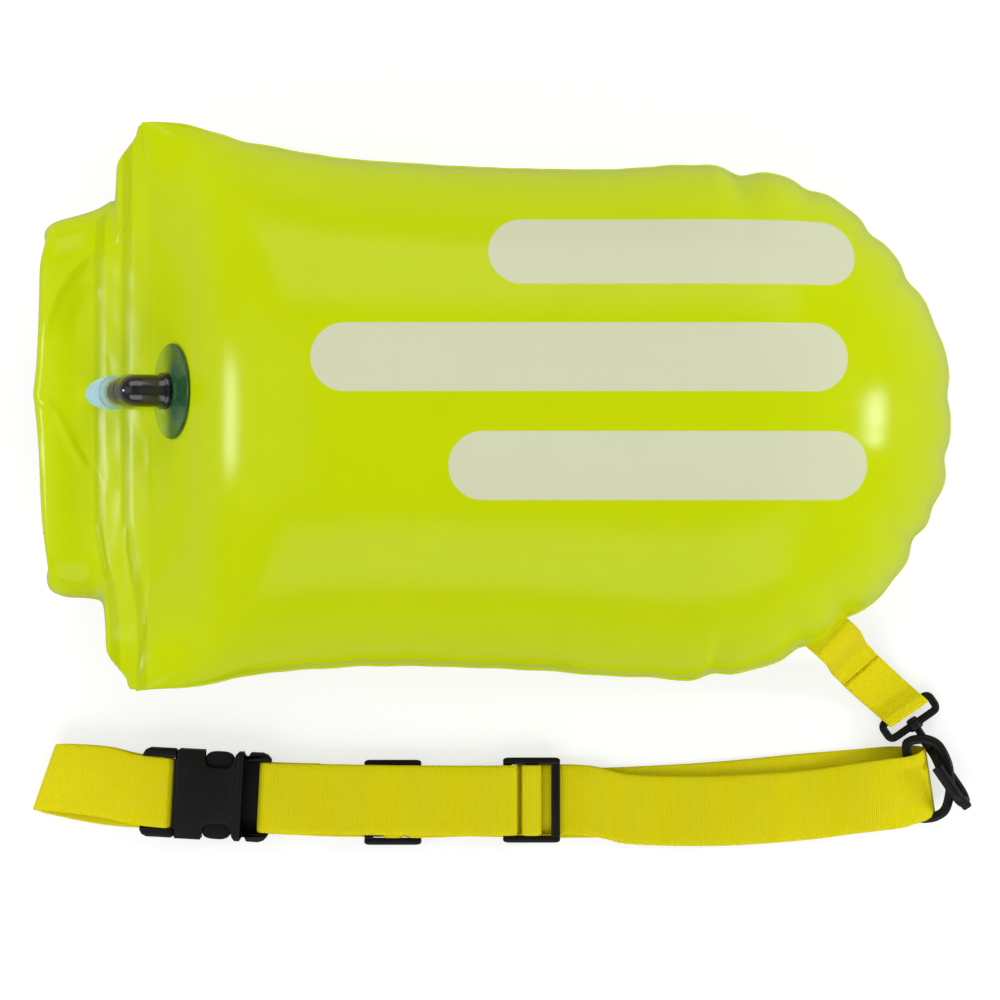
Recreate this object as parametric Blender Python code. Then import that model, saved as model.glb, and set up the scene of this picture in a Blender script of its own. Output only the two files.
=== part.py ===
"""Open water swim buoy: inflated float with a roll-top dry bag, oral valve, tether, snap hook and belt.

Metres, +Z up. The float lies on its back panel, so the origin is the middle of the flat that it rests on.
The roll-top faces -X, and the belt lies on the same surface at -Y.
"""

import math

import bmesh
import bpy
from mathutils import Matrix, Vector

# General clearances and counts
CLEARANCE = 0.0003
OVERRUN = 0.001
ROUND_STEPS = 28
SMALL_ROUND_STEPS = 16
EDGE_SEGMENTS = 2

# Float: length from the mouth weld to the far seam, width at the waist, half its depth
FLOAT_LENGTH = 0.4073
FLOAT_WIDTH = 0.254
FLOAT_HALF_DEPTH = 0.098
MOUTH_TO_ORIGIN = 0.1987
REST_DEPTH = 0.0005
SKIN = 0.001
LINER_THICKNESS = 0.0016
WALL_TILT = math.radians(62.4)
WALL_RISE = 0.0517
SPINE_START_SHARE = 0.267
SPINE_END_SHARE = 0.697
CROWN_SHARE = 0.12
SEAM_POWER_SHARE = 2.2
SEAM_FULLNESS_SHARE = 0.62
MOUTH_FAN_SHARES = (0.5, 0.85)
REACH_SHARES = (1.0, 0.985, 0.955, 0.91, 0.84, 0.7516, 0.62, 0.47, 0.3, CROWN_SHARE)
INNER_REACH_SHARES = (1.0, 0.955, 0.84, 0.7516, 0.47, CROWN_SHARE)
# The seam in plan: shares of the length from the mouth, and of half the width
SEAM_SHARES = (
    (0.0, 1.194),
    (0.0165, 1.198),
    (0.0627, 1.161),
    (0.135, 1.097),
    (0.228, 1.045),
    (0.338, 1.017),
    (0.473, 0.997),
    (0.586, 0.997),
    (0.676, 1.013),
    (0.74, 0.993),
    (0.805, 0.953),
    (0.87, 0.841),
    (0.911, 0.716),
    (0.944, 0.588),
    (0.971, 0.444),
    (0.99, 0.299),
    (0.999, 0.155),
    (1.0, -0.006),
    (0.998, -0.11),
    (0.993, -0.238),
    (0.976, -0.383),
    (0.953, -0.519),
    (0.928, -0.655),
    (0.892, -0.764),
    (0.851, -0.864),
    (0.817, -0.928),
    (0.773, -0.982),
    (0.726, -1.02),
    (0.666, -1.042),
    (0.563, -1.024),
    (0.473, -1.002),
    (0.317, -0.987),
    (0.225, -0.994),
    (0.125, -1.024),
    (0.078, -1.057),
    (0.0125, -1.089),
    (0.0, -1.096),
    (0.0, -0.676),
    (0.0, -0.33),
    (0.0, 0.33),
    (0.0, 0.8),
)

# Neck of the dry bag, from the mouth weld down to the roll
NECK_LENGTH = 0.0338
NECK_DROP = 0.0275
NECK_WELD_THICKNESS = 0.005
NECK_ROLL_THICKNESS = 0.0058
# Shares of the neck's length, and of half the float's width at its lower and upper edge
NECK_SHARES = (
    (0.0, -1.09, 1.185),
    (0.2, -1.095, 1.17),
    (0.36, -1.08, 1.14),
    (0.57, -1.03, 1.04),
    (0.69, -0.99, 0.93),
    (0.83, -0.77, 0.866),
    (1.0, -0.69, 0.84),
)

# Rolled mouth: a flat roll bent down at both ends, with a stiffener strip in its middle
ROLL_SPAN = 0.1864
ROLL_CENTRE_Y = 0.0106
ROLL_BREADTH = 0.0292
ROLL_THICKNESS = 0.015
ROLL_BOW = 0.003
ROLL_SHOULDER_RADIUS = 0.020
ROLL_HEEL_RADIUS = 0.014
ROLL_END_Z = 0.024
ROLL_END_REACH = 0.060
ROLL_END_BREADTH = 0.027
ROLL_END_THICKNESS = 0.009
# How square a rounded section is: 1 is an ellipse
OVAL_POWER_SHARE = 0.8
STIFFENER_BREADTH = 0.020
STIFFENER_THICKNESS = 0.0015
STIFFENER_SPAN = 0.140

# Oral valve: its place on the mouth wall, then sizes along its own axis
VALVE_Y = 0.0130
VALVE_WALL_SHARE = 0.535
FLANGE_RADIUS = 0.024
FLANGE_THICKNESS = 0.002
FLANGE_LIP = 0.0008
NECK_RING_RADIUS = 0.0105
NECK_RING_HEIGHT = 0.0012
BARREL_RADIUS = 0.0085
BARREL_DEPTH = 0.012
ELBOW_RADIUS = 0.0082
ELBOW_BORE = 0.004
ELBOW_REACH = 0.020
ELBOW_LEG = 0.012
ELBOW_FILLET = 0.0008
ELBOW_FAN = 8
COLLAR_RADIUS = 0.0092
COLLAR_HEIGHT = 0.0032
FOOT_RADIUS = 0.0059
FOOT_DEPTH = 0.008
SLEEVE_RADIUS = 0.0088
SLEEVE_WALL = 0.0013
SLEEVE_LENGTH = 0.026
SPIGOT_LENGTH = 0.006
SEAT_DROP = 0.0132
SEAT_THICKNESS = 0.0012
SEAT_BORE = 0.0033
SEAL_THICKNESS = 0.001
SEAL_BREADTH = 0.002
DISC_RADIUS = 0.0056
DISC_THICKNESS = 0.0021
STEM_RADIUS = 0.0015
STEM_LENGTH = 0.022
FIN_LENGTH = 0.005
FIN_THICKNESS = 0.0012
MOUTHPIECE_PUSH = 0.003
MOUTHPIECE_SKIRT = 0.003
MOUTHPIECE_RIM = 0.002
MOUTHPIECE_LENGTH = 0.022
MOUTHPIECE_END_RADIUS = 0.00485
MOUTHPIECE_BORE = 0.0021
MOUTHPIECE_RIBS = 3
RIB_HEIGHT = 0.0005
# A rib of the mouthpiece: share of its pitch, and of the rib's height
RIB_SHARES = ((0.15, 0.0), (0.35, 1.0), (0.65, 1.0), (0.85, 0.0))
MOUTHPIECE_CHAMFER = 0.0005
MOUTHPIECE_ROUND = math.radians(60)
SPRING_RADIUS = 0.0046
SPRING_WIRE = 0.00035
SPRING_TURNS = 5
SPRING_STEPS = 10
WIRE_SIDES = 6

# Webbing
WEBBING_THICKNESS = 0.0015
BELT_WIDTH = 0.038
TETHER_WIDTH = 0.025

# Side release buckle of the belt, along its own axis from the mouth of the female part
BUCKLE_WIDTH = 0.048
FEMALE_DEPTH = 0.011
FEMALE_LENGTH = 0.0355
FRAME_DEPTH = 0.008
FRAME_LENGTH = 0.015
FEMALE_SLOT = 0.006
CAVITY_WIDTH = 0.038
CAVITY_DEPTH = 0.007
CAVITY_LENGTH = 0.0325
WINDOW_START = 0.015
WINDOW_LENGTH = 0.016
NOTCH_DEPTH = 0.0035
NOTCH_LENGTH = 0.0026
NOTCH_PLACE = 0.0372
LIP_LENGTH = 0.003
LIP_RISE = 0.0007
MALE_LENGTH = 0.019
MALE_SLOT = 0.0055
MALE_WEB = 0.0015
BLOCK_LENGTH = 0.0045
BAR_THICKNESS = 0.004
LOBE_MARGIN = 0.0007
RAIL_WIDTH = 0.007
RAIL_THICKNESS = 0.003
RAIL_LENGTH = 0.026
ARM_PIVOT_Y = 0.0147
ARM_ROOT_RADIUS = 0.0021
ARM_THICKNESS = 0.0054
ARM_SHOULDER_GAP = 0.0004
# Lug of an arm: shares of the window's length past its start, and of half the buckle's width
LUG_SHARES = (
    (0.0, 0.885),
    (0.22, 0.97),
    (0.68, 0.983),
    (0.95, 0.88),
    (0.97, 0.65),
    (0.74, 0.555),
    (0.0, 0.525),
)
BUCKLE_BEVEL = 0.0012
FRAME_CORNER = 0.00375

# Place of the belt buckle, and of the small closure buckle behind the roll
BUCKLE_X = -0.1951
BUCKLE_Y = -0.1997
BUCKLE_TURN = math.radians(-3.0)

# Tri-glide slider, along the belt
SLIDER_LENGTH = 0.031
SLIDER_WIDTH = 0.046
SLIDER_THICKNESS = 0.0035
SLIDER_RAIL = 0.0035
SLIDER_OUTER_BAR = 0.005
SLIDER_CENTRE_BAR = 0.0055
SLIDER_BEVEL = 0.0008
SLIDER_CORNER = 0.004
# Shares of a slider's thickness: how far a strap's turns lie inside the edges of its bars
SLIDER_TURN_SHARE = 0.25
SLIDER_DIVE_SHARE = 0.69
# Shares of the bars where a through strap starts to leave its level
SLIDER_LEAVE_SHARE = 1 / 3
FRONT_SLIDER_X = -0.0033
REAR_SLIDER_X = -0.0784

# Route of the belt: height levels come from the webbing's thickness
LOOP_FOLD_X = -0.2617
LOOP_FOLD_SKEW_SHARE = 0.35
BELT_SPLIT_X = -0.100
TAIL_END_X = 0.1356
RING_FOLD_X = 0.2048
RING_FOLD_SKEW_SHARE = -0.150
RING_FOLD_SKEW_RUN = 0.0253
RING_PINCH_SHARE = 0.055
RING_PINCH_RUN = 0.030
RING_FOLD_DROP = 0.009
LOOP_FOLD_LIFT = 0.0039
SEWN_RUN = 0.0266
# Middle line of the front layers and of the floor layers in plan (x, y), and past the fold at the ring
FRONT_LINE = (
    (-0.268, -0.1905),
    (-0.235, -0.1935),
    (-0.207, -0.1990),
    (-0.150, -0.2020),
    (-0.107, -0.2032),
    (-0.060, -0.2038),
    (-0.030, -0.2040),
    (0.020, -0.2042),
    (0.052, -0.2092),
    (0.100, -0.2098),
    (0.145, -0.2068),
    (RING_FOLD_X - 0.0168, -0.1985),
    (RING_FOLD_X - 0.0058, -0.1946),
    (RING_FOLD_X + 0.0012, -0.1926),
    (RING_FOLD_X + 0.0082, -0.1915),
)
FLOOR_LINE = (
    (-0.268, -0.1920),
    (-0.235, -0.1985),
    (-0.200, -0.2010),
    (-0.110, -0.2050),
    (-0.050, -0.2050),
    (0.024, -0.2060),
    (0.086, -0.2034),
    (0.141, -0.1985),
    (RING_FOLD_X - 0.0168, -0.1945),
    (RING_FOLD_X - 0.0058, -0.1936),
    (RING_FOLD_X + 0.0012, -0.1925),
    (RING_FOLD_X + 0.0082, -0.1915),
)

# Ring in the belt's fold, whose straight leg lies inside the fold
RING_LEG_Y = -0.1931
RING_LEG_Z = 0.0077
RING_BAR = 0.0054
RING_THICKNESS = 0.005
RING_HEIGHT = 0.0432
RING_REACH = 0.0207
RING_TILT = math.radians(-12.0)
RING_TURN = math.radians(8.5)
# Its middle line in plan: shares of the reach from the leg, and of half the height
RING_LINE_SHARES = (
    (0.0, -0.82),
    (0.0, 0.0),
    (0.0, 0.82),
    (0.1, 0.965),
    (0.3, 1.0),
    (0.6, 0.95),
    (0.84, 0.76),
    (0.985, 0.36),
    (1.0, 0.0),
    (0.94, -0.42),
    (0.76, -0.82),
    (0.5, -0.975),
    (0.25, -1.0),
    (0.09, -0.965),
)

# Snap hook: its own axis runs from the eye to the tip of the hook, and starts beside the ring's leg
HOOK_PAST_LEG = 0.0013
HOOK_OFF_LEG = 0.0312
HOOK_Z = 0.0046
HOOK_TURN = math.radians(-55.4)
HOOK_ROLL = math.radians(16.0)
EYE_WIDTH = 0.0338
EYE_LENGTH = 0.0130
EYE_THICKNESS = 0.0035
EYE_FAR_BAR = 0.0035
EYE_NEAR_BAR = 0.0035
EYE_SIDE_BAR = 0.003
EYE_BACK = 0.0100
BOSS_RADIUS = 0.0042
BOSS_PROUD = 0.0013
STUD_RADIUS = 0.002
STUD_HEAD_RADIUS = 0.0032
STUD_HEAD = 0.0015
HOOK_NECK = 0.0105
HOOK_SHANK_START = 0.0155
HOOK_BEND_START = 0.0425
HOOK_BEND_RADIUS = 0.0075
HOOK_JAW_END = 0.0252
HOOK_WIDTH = 0.0064
HOOK_BAR = 0.0046
HOOK_TIP = 0.003
GATE_ROOT = 0.0185
GATE_ROOT_RADIUS = 0.0013
GATE_WIDTH = 0.0036
GATE_THICKNESS = 0.0016
GATE_TIP_GAP = 0.0008

# Tether, from the seam down to the eye of the hook: its root at shares of the length and of half the width
TETHER_ROOT_SHARES = (0.8505, -0.8677)
TETHER_INNER = 0.012
TETHER_OUTER = 0.004
# Its fall in side view, as shares of TETHER_OUTER: out and down from the seam, then out and up from the step
TETHER_FALL_SHARES = ((1.0, 0.125), (2.3, 1.4), (3.6, 6.0), (4.7, 11.0))
TETHER_STEP_SHARES = ((5.9, 3.2), (1.6, 4.2, 1.5), 3.0)
TETHER_STEP_X = 0.030
TETHER_STEP_Z = 0.0205
TETHER_TURN_SHARE = 0.9
ANCHOR_LENGTH = 0.006
ANCHOR_THICKNESS = 0.002

# Colours: linear RGB
NEON = (0.56, 0.70, 0.0, 1.0)
WEBBING_YELLOW = (0.69, 0.63, 0.0, 1.0)
BLACK = (0.011, 0.011, 0.011, 1.0)
GLOSS_BLACK = (0.008, 0.006, 0.006, 1.0)
VALVE_GREEN = (0.03, 0.11, 0.045, 1.0)
PALE_BLUE = (0.40, 0.62, 0.67, 1.0)
CLEAR_SLEEVE = (0.75, 0.78, 0.76, 1.0)
SEAL_GREY = (0.10, 0.10, 0.10, 1.0)
STEEL = (0.55, 0.55, 0.55, 1.0)
LINER_GREY = (0.55, 0.56, 0.54, 1.0)

# Derived places
MOUTH_X = -MOUTH_TO_ORIGIN
MID_Z = FLOAT_HALF_DEPTH - REST_DEPTH
HALF_WIDTH = FLOAT_WIDTH / 2
SPINE_START_X = MOUTH_X + FLOAT_LENGTH * SPINE_START_SHARE
SPINE_END_X = MOUTH_X + FLOAT_LENGTH * SPINE_END_SHARE
TETHER_ROOT_X = MOUTH_X + FLOAT_LENGTH * TETHER_ROOT_SHARES[0]
TETHER_ROOT_Y = HALF_WIDTH * TETHER_ROOT_SHARES[1]
RING_LEG_X = RING_FOLD_X - RING_BAR / 2
HOOK_X = RING_LEG_X + HOOK_PAST_LEG
HOOK_Y = RING_LEG_Y + HOOK_OFF_LEG
LEVEL_PITCH = WEBBING_THICKNESS + CLEARANCE
ROLL_Z = MID_Z - NECK_DROP
NECK_END_X = MOUTH_X - CLEARANCE - NECK_LENGTH
ROLL_X = NECK_END_X - CLEARANCE - ROLL_BREADTH / 2


def level(number):
    """Height of the middle of a webbing layer, counted from the floor."""
    return WEBBING_THICKNESS / 2 + number * LEVEL_PITCH


BUCKLE_Z = level(1) + WEBBING_THICKNESS / 2 + CLEARANCE + FEMALE_DEPTH / 2
BAR_WRAP = BAR_THICKNESS / 2 + CLEARANCE + WEBBING_THICKNESS / 2
SLIDER_NEAR = SLIDER_THICKNESS / 2 + CLEARANCE + WEBBING_THICKNESS / 2
SLIDER_FAR = SLIDER_NEAR + LEVEL_PITCH
FRONT_SLIDER_Z = level(1) + SLIDER_FAR
REAR_SLIDER_Z = level(0) + SLIDER_FAR
CLOSURE_RATIO = TETHER_WIDTH / BELT_WIDTH


def clear_scene():
    for thing in list(bpy.data.objects):
        bpy.data.objects.remove(thing, do_unlink=True)


def material(name, colour, roughness, metallic=0.0, alpha=1.0):
    made = bpy.data.materials.get(name) or bpy.data.materials.new(name)
    made.use_nodes = True
    shader = made.node_tree.nodes["Principled BSDF"]
    shader.inputs["Base Color"].default_value = colour
    shader.inputs["Roughness"].default_value = roughness
    shader.inputs["Metallic"].default_value = metallic
    shader.inputs["Alpha"].default_value = alpha
    return made


def new_object(name, mesh, finish=None, parent=None):
    thing = bpy.data.objects.new(name, mesh)
    bpy.context.scene.collection.objects.link(thing)
    if finish:
        mesh.materials.append(finish)
    thing.parent = parent
    return thing


def empty(name, matrix, parent=None):
    guide = bpy.data.objects.new(name, None)
    bpy.context.scene.collection.objects.link(guide)
    guide.parent = parent
    guide.matrix_local = matrix
    return guide


def finish_mesh(name, bm, smooth_angle=math.radians(35)):
    bmesh.ops.remove_doubles(bm, verts=bm.verts, dist=CLEARANCE / 100)
    bmesh.ops.recalc_face_normals(bm, faces=bm.faces)
    mesh = bpy.data.meshes.new(name)
    bm.to_mesh(mesh)
    bm.free()
    mesh.shade_smooth()
    mesh.set_sharp_from_angle(angle=smooth_angle)
    return mesh


def first_ring(bm, points):
    verts = [bm.verts.new(p) for p in points]
    for a, b in zip(verts, verts[1:] + verts[:1]):
        bm.edges.new((a, b))
    return verts


def next_ring(bm, verts, points):
    """Extrude a ring of vertices and move the copy onto the given points."""
    place = {v: n for n, v in enumerate(verts)}
    edges = [bm.edges.get(pair) for pair in zip(verts, verts[1:] + verts[:1])]
    made = bmesh.ops.extrude_edge_only(bm, edges=edges)["geom"]
    copies = [None] * len(verts)
    for vert in (g for g in made if isinstance(g, bmesh.types.BMVert)):
        for edge in vert.link_edges:
            other = edge.other_vert(vert)
            if other in place:
                copies[place[other]] = vert
    for vert, point in zip(copies, points):
        vert.co = point
    return copies


def lofted(name, rings, closed=False):
    """A closed skin through rings of points. A closed loft runs round to its first ring again."""
    bm = bmesh.new()
    start = first_ring(bm, rings[0])
    verts = start
    for ring in rings[1:]:
        verts = next_ring(bm, verts, ring)
    if closed:
        next_ring(bm, verts, rings[0])
    else:
        bm.faces.new(start)
        bm.faces.new(verts)
    return finish_mesh(name, bm)


def slab(name, outline, low, high):
    """A flat outline in XY, extruded from the height low to the height high."""
    bm = bmesh.new()
    face = bm.faces.new([bm.verts.new((x, y, low)) for x, y in outline])
    made = bmesh.ops.extrude_face_region(bm, geom=[face])["geom"]
    verts = [g for g in made if isinstance(g, bmesh.types.BMVert)]
    bmesh.ops.translate(bm, verts=verts, vec=(0, 0, high - low))
    return finish_mesh(name, bm)


def block(name, low, high):
    bm = bmesh.new()
    low, high = Vector(low), Vector(high)
    size = high - low
    middle = Matrix.Translation((low + high) / 2)
    bmesh.ops.create_cube(bm, size=1, matrix=middle @ Matrix.Diagonal((*size, 1)))
    return finish_mesh(name, bm)


def turned(name, profile, steps=ROUND_STEPS, solid=False):
    """Turn a profile of (along, radius) round the X axis. A solid profile starts and ends on the axis."""
    bm = bmesh.new()
    verts = [bm.verts.new((along, 0, radius)) for along, radius in profile]
    pairs = list(zip(verts, verts[1:]))
    if not solid:
        pairs.append((verts[-1], verts[0]))
    edges = [bm.edges.new(pair) for pair in pairs]
    bmesh.ops.spin(
        bm, geom=verts + edges, axis=(1, 0, 0), cent=(0, 0, 0), angle=math.tau, steps=steps, use_merge=True
    )
    return finish_mesh(name, bm)


def rounded(length, width, radius, start=0.0, steps=3):
    """Outline of a rectangle with round corners, from x = start, centred on y = 0."""
    points = []
    corners = (
        (start + length - radius, width / 2 - radius, 0),
        (start + radius, width / 2 - radius, 1),
        (start + radius, -width / 2 + radius, 2),
        (start + length - radius, -width / 2 + radius, 3),
    )
    for x, y, quarter in corners:
        for step in range(steps + 1):
            angle = (quarter + step / steps) * math.pi / 2
            points.append((x + radius * math.cos(angle), y + radius * math.sin(angle)))
    return points


def smooth_line(points, steps, closed=False):
    """Catmull-Rom curve through points, with the given steps in each span."""
    points = [Vector(p) for p in points]
    if closed:
        ends = [points[-1], *points, points[0], points[1]]
    else:
        ends = [2 * points[0] - points[1], *points, 2 * points[-1] - points[-2]]
    out = []
    for a, b, c, d in zip(ends, ends[1:], ends[2:], ends[3:]):
        for step in range(steps):
            t = step / steps
            square = 2 * a - 5 * b + 4 * c - d
            cube = 3 * b - a - 3 * c + d
            out.append((2 * b + (c - a) * t + square * t**2 + cube * t**3) / 2)
    if not closed:
        out.append(points[-1])
    return out


def along(table, x):
    """Read a smooth table of (x, y) points at x."""
    line = smooth_line([(*p, 0) for p in table], 8)
    if x <= line[0].x:
        return line[0].y
    for a, b in zip(line, line[1:]):
        if x <= b.x:
            share = (x - a.x) / (b.x - a.x)
            return a.y + (b.y - a.y) * share
    return line[-1].y


def arc(centre_x, centre_z, radius, start, end, steps):
    """Points (x, z) on an arc, angles in degrees from +X towards +Z."""
    out = []
    for step in range(steps + 1):
        angle = math.radians(start + (end - start) * step / steps)
        out.append((centre_x + radius * math.cos(angle), centre_z + radius * math.sin(angle)))
    return out


def ribbon(name, stations, width, thickness=WEBBING_THICKNESS):
    """Webbing through stations (x, y, z, skew, width share), its thickness square to its run."""
    rings = []
    count = len(stations)
    for n, (x, y, z, skew, share) in enumerate(stations):
        before = stations[max(n - 1, 0)]
        after = stations[min(n + 1, count - 1)]
        run = Vector((after[0] - before[0], 0, after[2] - before[2])).normalized()
        up = Vector((-run.z, 0, run.x)) * thickness / 2
        side = Vector((skew, 1, 0)).normalized() * width * share / 2
        middle = Vector((x, y, z))
        rings.append([middle - side - up, middle + side - up, middle + side + up, middle - side + up])
    return lofted(name, rings)


def tube(name, path, radius, sides):
    """A round wire along a path of points."""
    rings = []
    side = None
    for n, point in enumerate(path):
        run = (path[min(n + 1, len(path) - 1)] - path[max(n - 1, 0)]).normalized()
        if side is None:
            side = run.orthogonal()
        side = (side - run * side.dot(run)).normalized()
        other = run.cross(side)
        turns = [math.tau * k / sides for k in range(sides)]
        rings.append([point + radius * (side * math.cos(a) + other * math.sin(a)) for a in turns])
    return lofted(name, rings)


def hide(cutter):
    cutter.hide_render = True
    cutter.display_type = "WIRE"
    return cutter


def boolean(target, mesh, operation, parent=None, matrix=None):
    """Cut a mesh out of the target, or join it on, with its tool kept as a hidden guide."""
    tool = hide(new_object(f"{target.name}_{operation.lower()}", mesh, parent=parent or target.parent))
    if matrix:
        tool.matrix_local = matrix
    step = target.modifiers.new(operation.title(), "BOOLEAN")
    step.operation = operation
    step.solver = "EXACT"
    step.object = tool
    return tool


def bevel(target, width, segments=EDGE_SEGMENTS):
    step = target.modifiers.new("Bevel", "BEVEL")
    step.width = width
    step.segments = segments
    step.limit_method = "ANGLE"
    step.harden_normals = False


def seam_points():
    table = [(MOUTH_X + FLOAT_LENGTH * x, HALF_WIDTH * y, 0) for x, y in SEAM_SHARES]
    line = smooth_line(table, 2, closed=True)
    return [Vector((max(p.x, MOUTH_X), p.y, 0)) for p in line]


def mouth_weight(point):
    """One where the skin is the flat wall behind the mouth, nought on the sides and the far end."""
    angle = math.atan2(abs(point.y), SPINE_START_X - point.x)
    share = (angle - MOUTH_FAN_SHARES[0]) / (MOUTH_FAN_SHARES[1] - MOUTH_FAN_SHARES[0])
    share = min(max(share, 0.0), 1.0)
    return 1 - share * share * (3 - 2 * share)


def wall_height(reach, crown):
    """Height of the mouth wall over the seam: a straight slope, then a crown that meets the top level."""
    length = SPINE_START_X - MOUTH_X
    run = (1 - reach) * length
    slope = math.tan(WALL_TILT)
    straight = WALL_RISE / slope
    if run <= straight:
        return run * slope
    rest = (1 - CROWN_SHARE) * length - straight
    power = slope * rest / (crown - WALL_RISE)
    return WALL_RISE + (crown - WALL_RISE) * (1 - (1 - (run - straight) / rest) ** power)


def skin_point(seam, reach, inset, side):
    """A point of the skin. reach runs from 1 at the seam to the crown, inset is the depth in the skin."""
    spine = Vector((min(max(seam.x, SPINE_START_X), SPINE_END_X), 0, 0))
    out = seam - spine
    span = out.length
    place = spine + out * (reach * (1 - inset / span))
    share = (reach - CROWN_SHARE) / (1 - CROWN_SHARE)
    top = MID_Z
    round_height = top * (1 - share**SEAM_POWER_SHARE) ** SEAM_FULLNESS_SHARE
    weight = mouth_weight(seam)
    height = weight * wall_height(reach, top) + (1 - weight) * round_height
    height *= (top - inset) / top
    return Vector((place.x, place.y, MID_Z + side * (CLEARANCE / 2 + height * (top - CLEARANCE / 2) / top)))


def skin_panel(name, side, finish):
    """One half of the float's skin, an open shell whose rim lies at the seam."""
    seam = seam_points()
    outer = [[skin_point(p, r, 0.0, side) for p in seam] for r in reversed(REACH_SHARES)]
    inner = [[skin_point(p, r, SKIN, side) for p in seam] for r in INNER_REACH_SHARES]
    return new_object(name, lofted(name, outer + inner), finish)


def liner(finish):
    inset = SKIN + LINER_THICKNESS + CLEARANCE
    outline = []
    for p in seam_points():
        spine = Vector((min(max(p.x, SPINE_START_X), SPINE_END_X), 0, 0))
        out = p - spine
        place = spine + out * (1 - inset / out.length)
        outline.append((place.x, place.y))
    mesh = slab("dry_bag_liner", outline, MID_Z - LINER_THICKNESS / 2, MID_Z + LINER_THICKNESS / 2)
    return new_object("dry_bag_liner", mesh, finish)


def neck(finish):
    rings = []
    for share, low, high in NECK_SHARES:
        x = MOUTH_X - CLEARANCE - NECK_LENGTH * share
        z = MID_Z - NECK_DROP * share
        half = (NECK_WELD_THICKNESS + (NECK_ROLL_THICKNESS - NECK_WELD_THICKNESS) * share) / 2
        y_low, y_high = HALF_WIDTH * low, HALF_WIDTH * high
        rings.append(
            [
                Vector((x, y_low, z)),
                Vector((x, y_low + half, z - half)),
                Vector((x, y_high - half, z - half)),
                Vector((x, y_high, z)),
                Vector((x, y_high - half, z + half)),
                Vector((x, y_low + half, z + half)),
            ]
        )
    return new_object("bag_neck", lofted("bag_neck", rings), finish)


def roll_path():
    """Middle line of the roll in YZ, from one end to the other: (y, z, direction angle)."""
    half = ROLL_SPAN / 2 - ROLL_THICKNESS / 2
    shoulder, heel = ROLL_SHOULDER_RADIUS, ROLL_HEEL_RADIUS
    side = [(0.0, ROLL_Z, 0.0), ((half - shoulder) / 2, ROLL_Z, 0.0)]
    side += [
        (half - shoulder + shoulder * math.sin(a), ROLL_Z - shoulder + shoulder * math.cos(a), a)
        for a in (math.pi / 2 * n / 4 for n in range(5))
    ]
    side += [
        (half - heel + heel * math.cos(a), ROLL_END_Z + heel - heel * math.sin(a), math.pi / 2 + a)
        for a in (math.pi / 2 * n / 4 for n in range(5))
    ]
    side.append((ROLL_END_REACH, ROLL_END_Z, math.pi))
    other = [(-y, z, -a) for y, z, a in side[1:]]
    return list(reversed(other)) + side


def oval(breadth, thickness, sides=14):
    """Unit places round a flattened roll: (across, through)."""
    out = []
    for n in range(sides):
        a = math.tau * n / sides
        across = math.copysign(abs(math.cos(a)) ** OVAL_POWER_SHARE, math.cos(a))
        through = math.copysign(abs(math.sin(a)) ** OVAL_POWER_SHARE, math.sin(a))
        out.append((across * breadth / 2, through * thickness / 2))
    return out


def roll_rings(breadth, thickness, end_breadth, end_thickness, path):
    rings = []
    for y, z, angle in path:
        share = min(max((ROLL_Z - z) / (ROLL_Z - ROLL_END_Z), 0.0), 1.0)
        bow = ROLL_BOW * min(abs(y) / (ROLL_SPAN / 2), 1.0) ** 2 * (1 - share)
        wide = breadth - bow + (end_breadth - breadth) * share
        thick = thickness + (end_thickness - thickness) * share
        x = ROLL_X + bow / 2
        normal = Vector((0, math.sin(angle), math.cos(angle)))
        middle = Vector((x, ROLL_CENTRE_Y + y, z))
        section = oval(wide, thick)
        rings.append([middle + Vector((across, 0, 0)) + normal * through for across, through in section])
    return rings


def roll(finish, stiffener_finish):
    path = roll_path()
    rings = roll_rings(ROLL_BREADTH, ROLL_THICKNESS, ROLL_END_BREADTH, ROLL_END_THICKNESS, path)
    rolled = new_object("roll_top", lofted("roll_top", rings), finish)
    half = STIFFENER_SPAN / 2
    slot_gap = STIFFENER_THICKNESS / 2 + CLEARANCE
    reach = STIFFENER_BREADTH / 2
    low = (ROLL_X - reach, ROLL_CENTRE_Y - half, ROLL_Z - STIFFENER_THICKNESS / 2)
    high = (ROLL_X + reach, ROLL_CENTRE_Y + half, ROLL_Z + STIFFENER_THICKNESS / 2)
    pocket_low = (ROLL_X - ROLL_BREADTH, low[1] - CLEARANCE, ROLL_Z - slot_gap)
    pocket_high = (high[0] + CLEARANCE, high[1] + CLEARANCE, ROLL_Z + slot_gap)
    boolean(rolled, block("pocket", pocket_low, pocket_high), "DIFFERENCE")
    strip = new_object("roll_stiffener", block("roll_stiffener", low, high), stiffener_finish)
    return rolled, strip


def valve_frame():
    """Axis of the valve on the mouth wall: X points out of the wall, and the mouthpiece hangs along -Z."""
    rise = VALVE_WALL_SHARE * WALL_RISE
    run = rise / math.tan(WALL_TILT)
    outward = Vector((-math.sin(WALL_TILT), 0, math.cos(WALL_TILT)))
    upward = Vector((math.cos(WALL_TILT), 0, math.sin(WALL_TILT)))
    across = upward.cross(outward)
    turn = Matrix((outward, across, upward)).transposed().to_4x4()
    place = Vector((MOUTH_X + run, VALVE_Y, MID_Z + CLEARANCE / 2 + rise))
    return Matrix.Translation(place) @ turn


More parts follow.
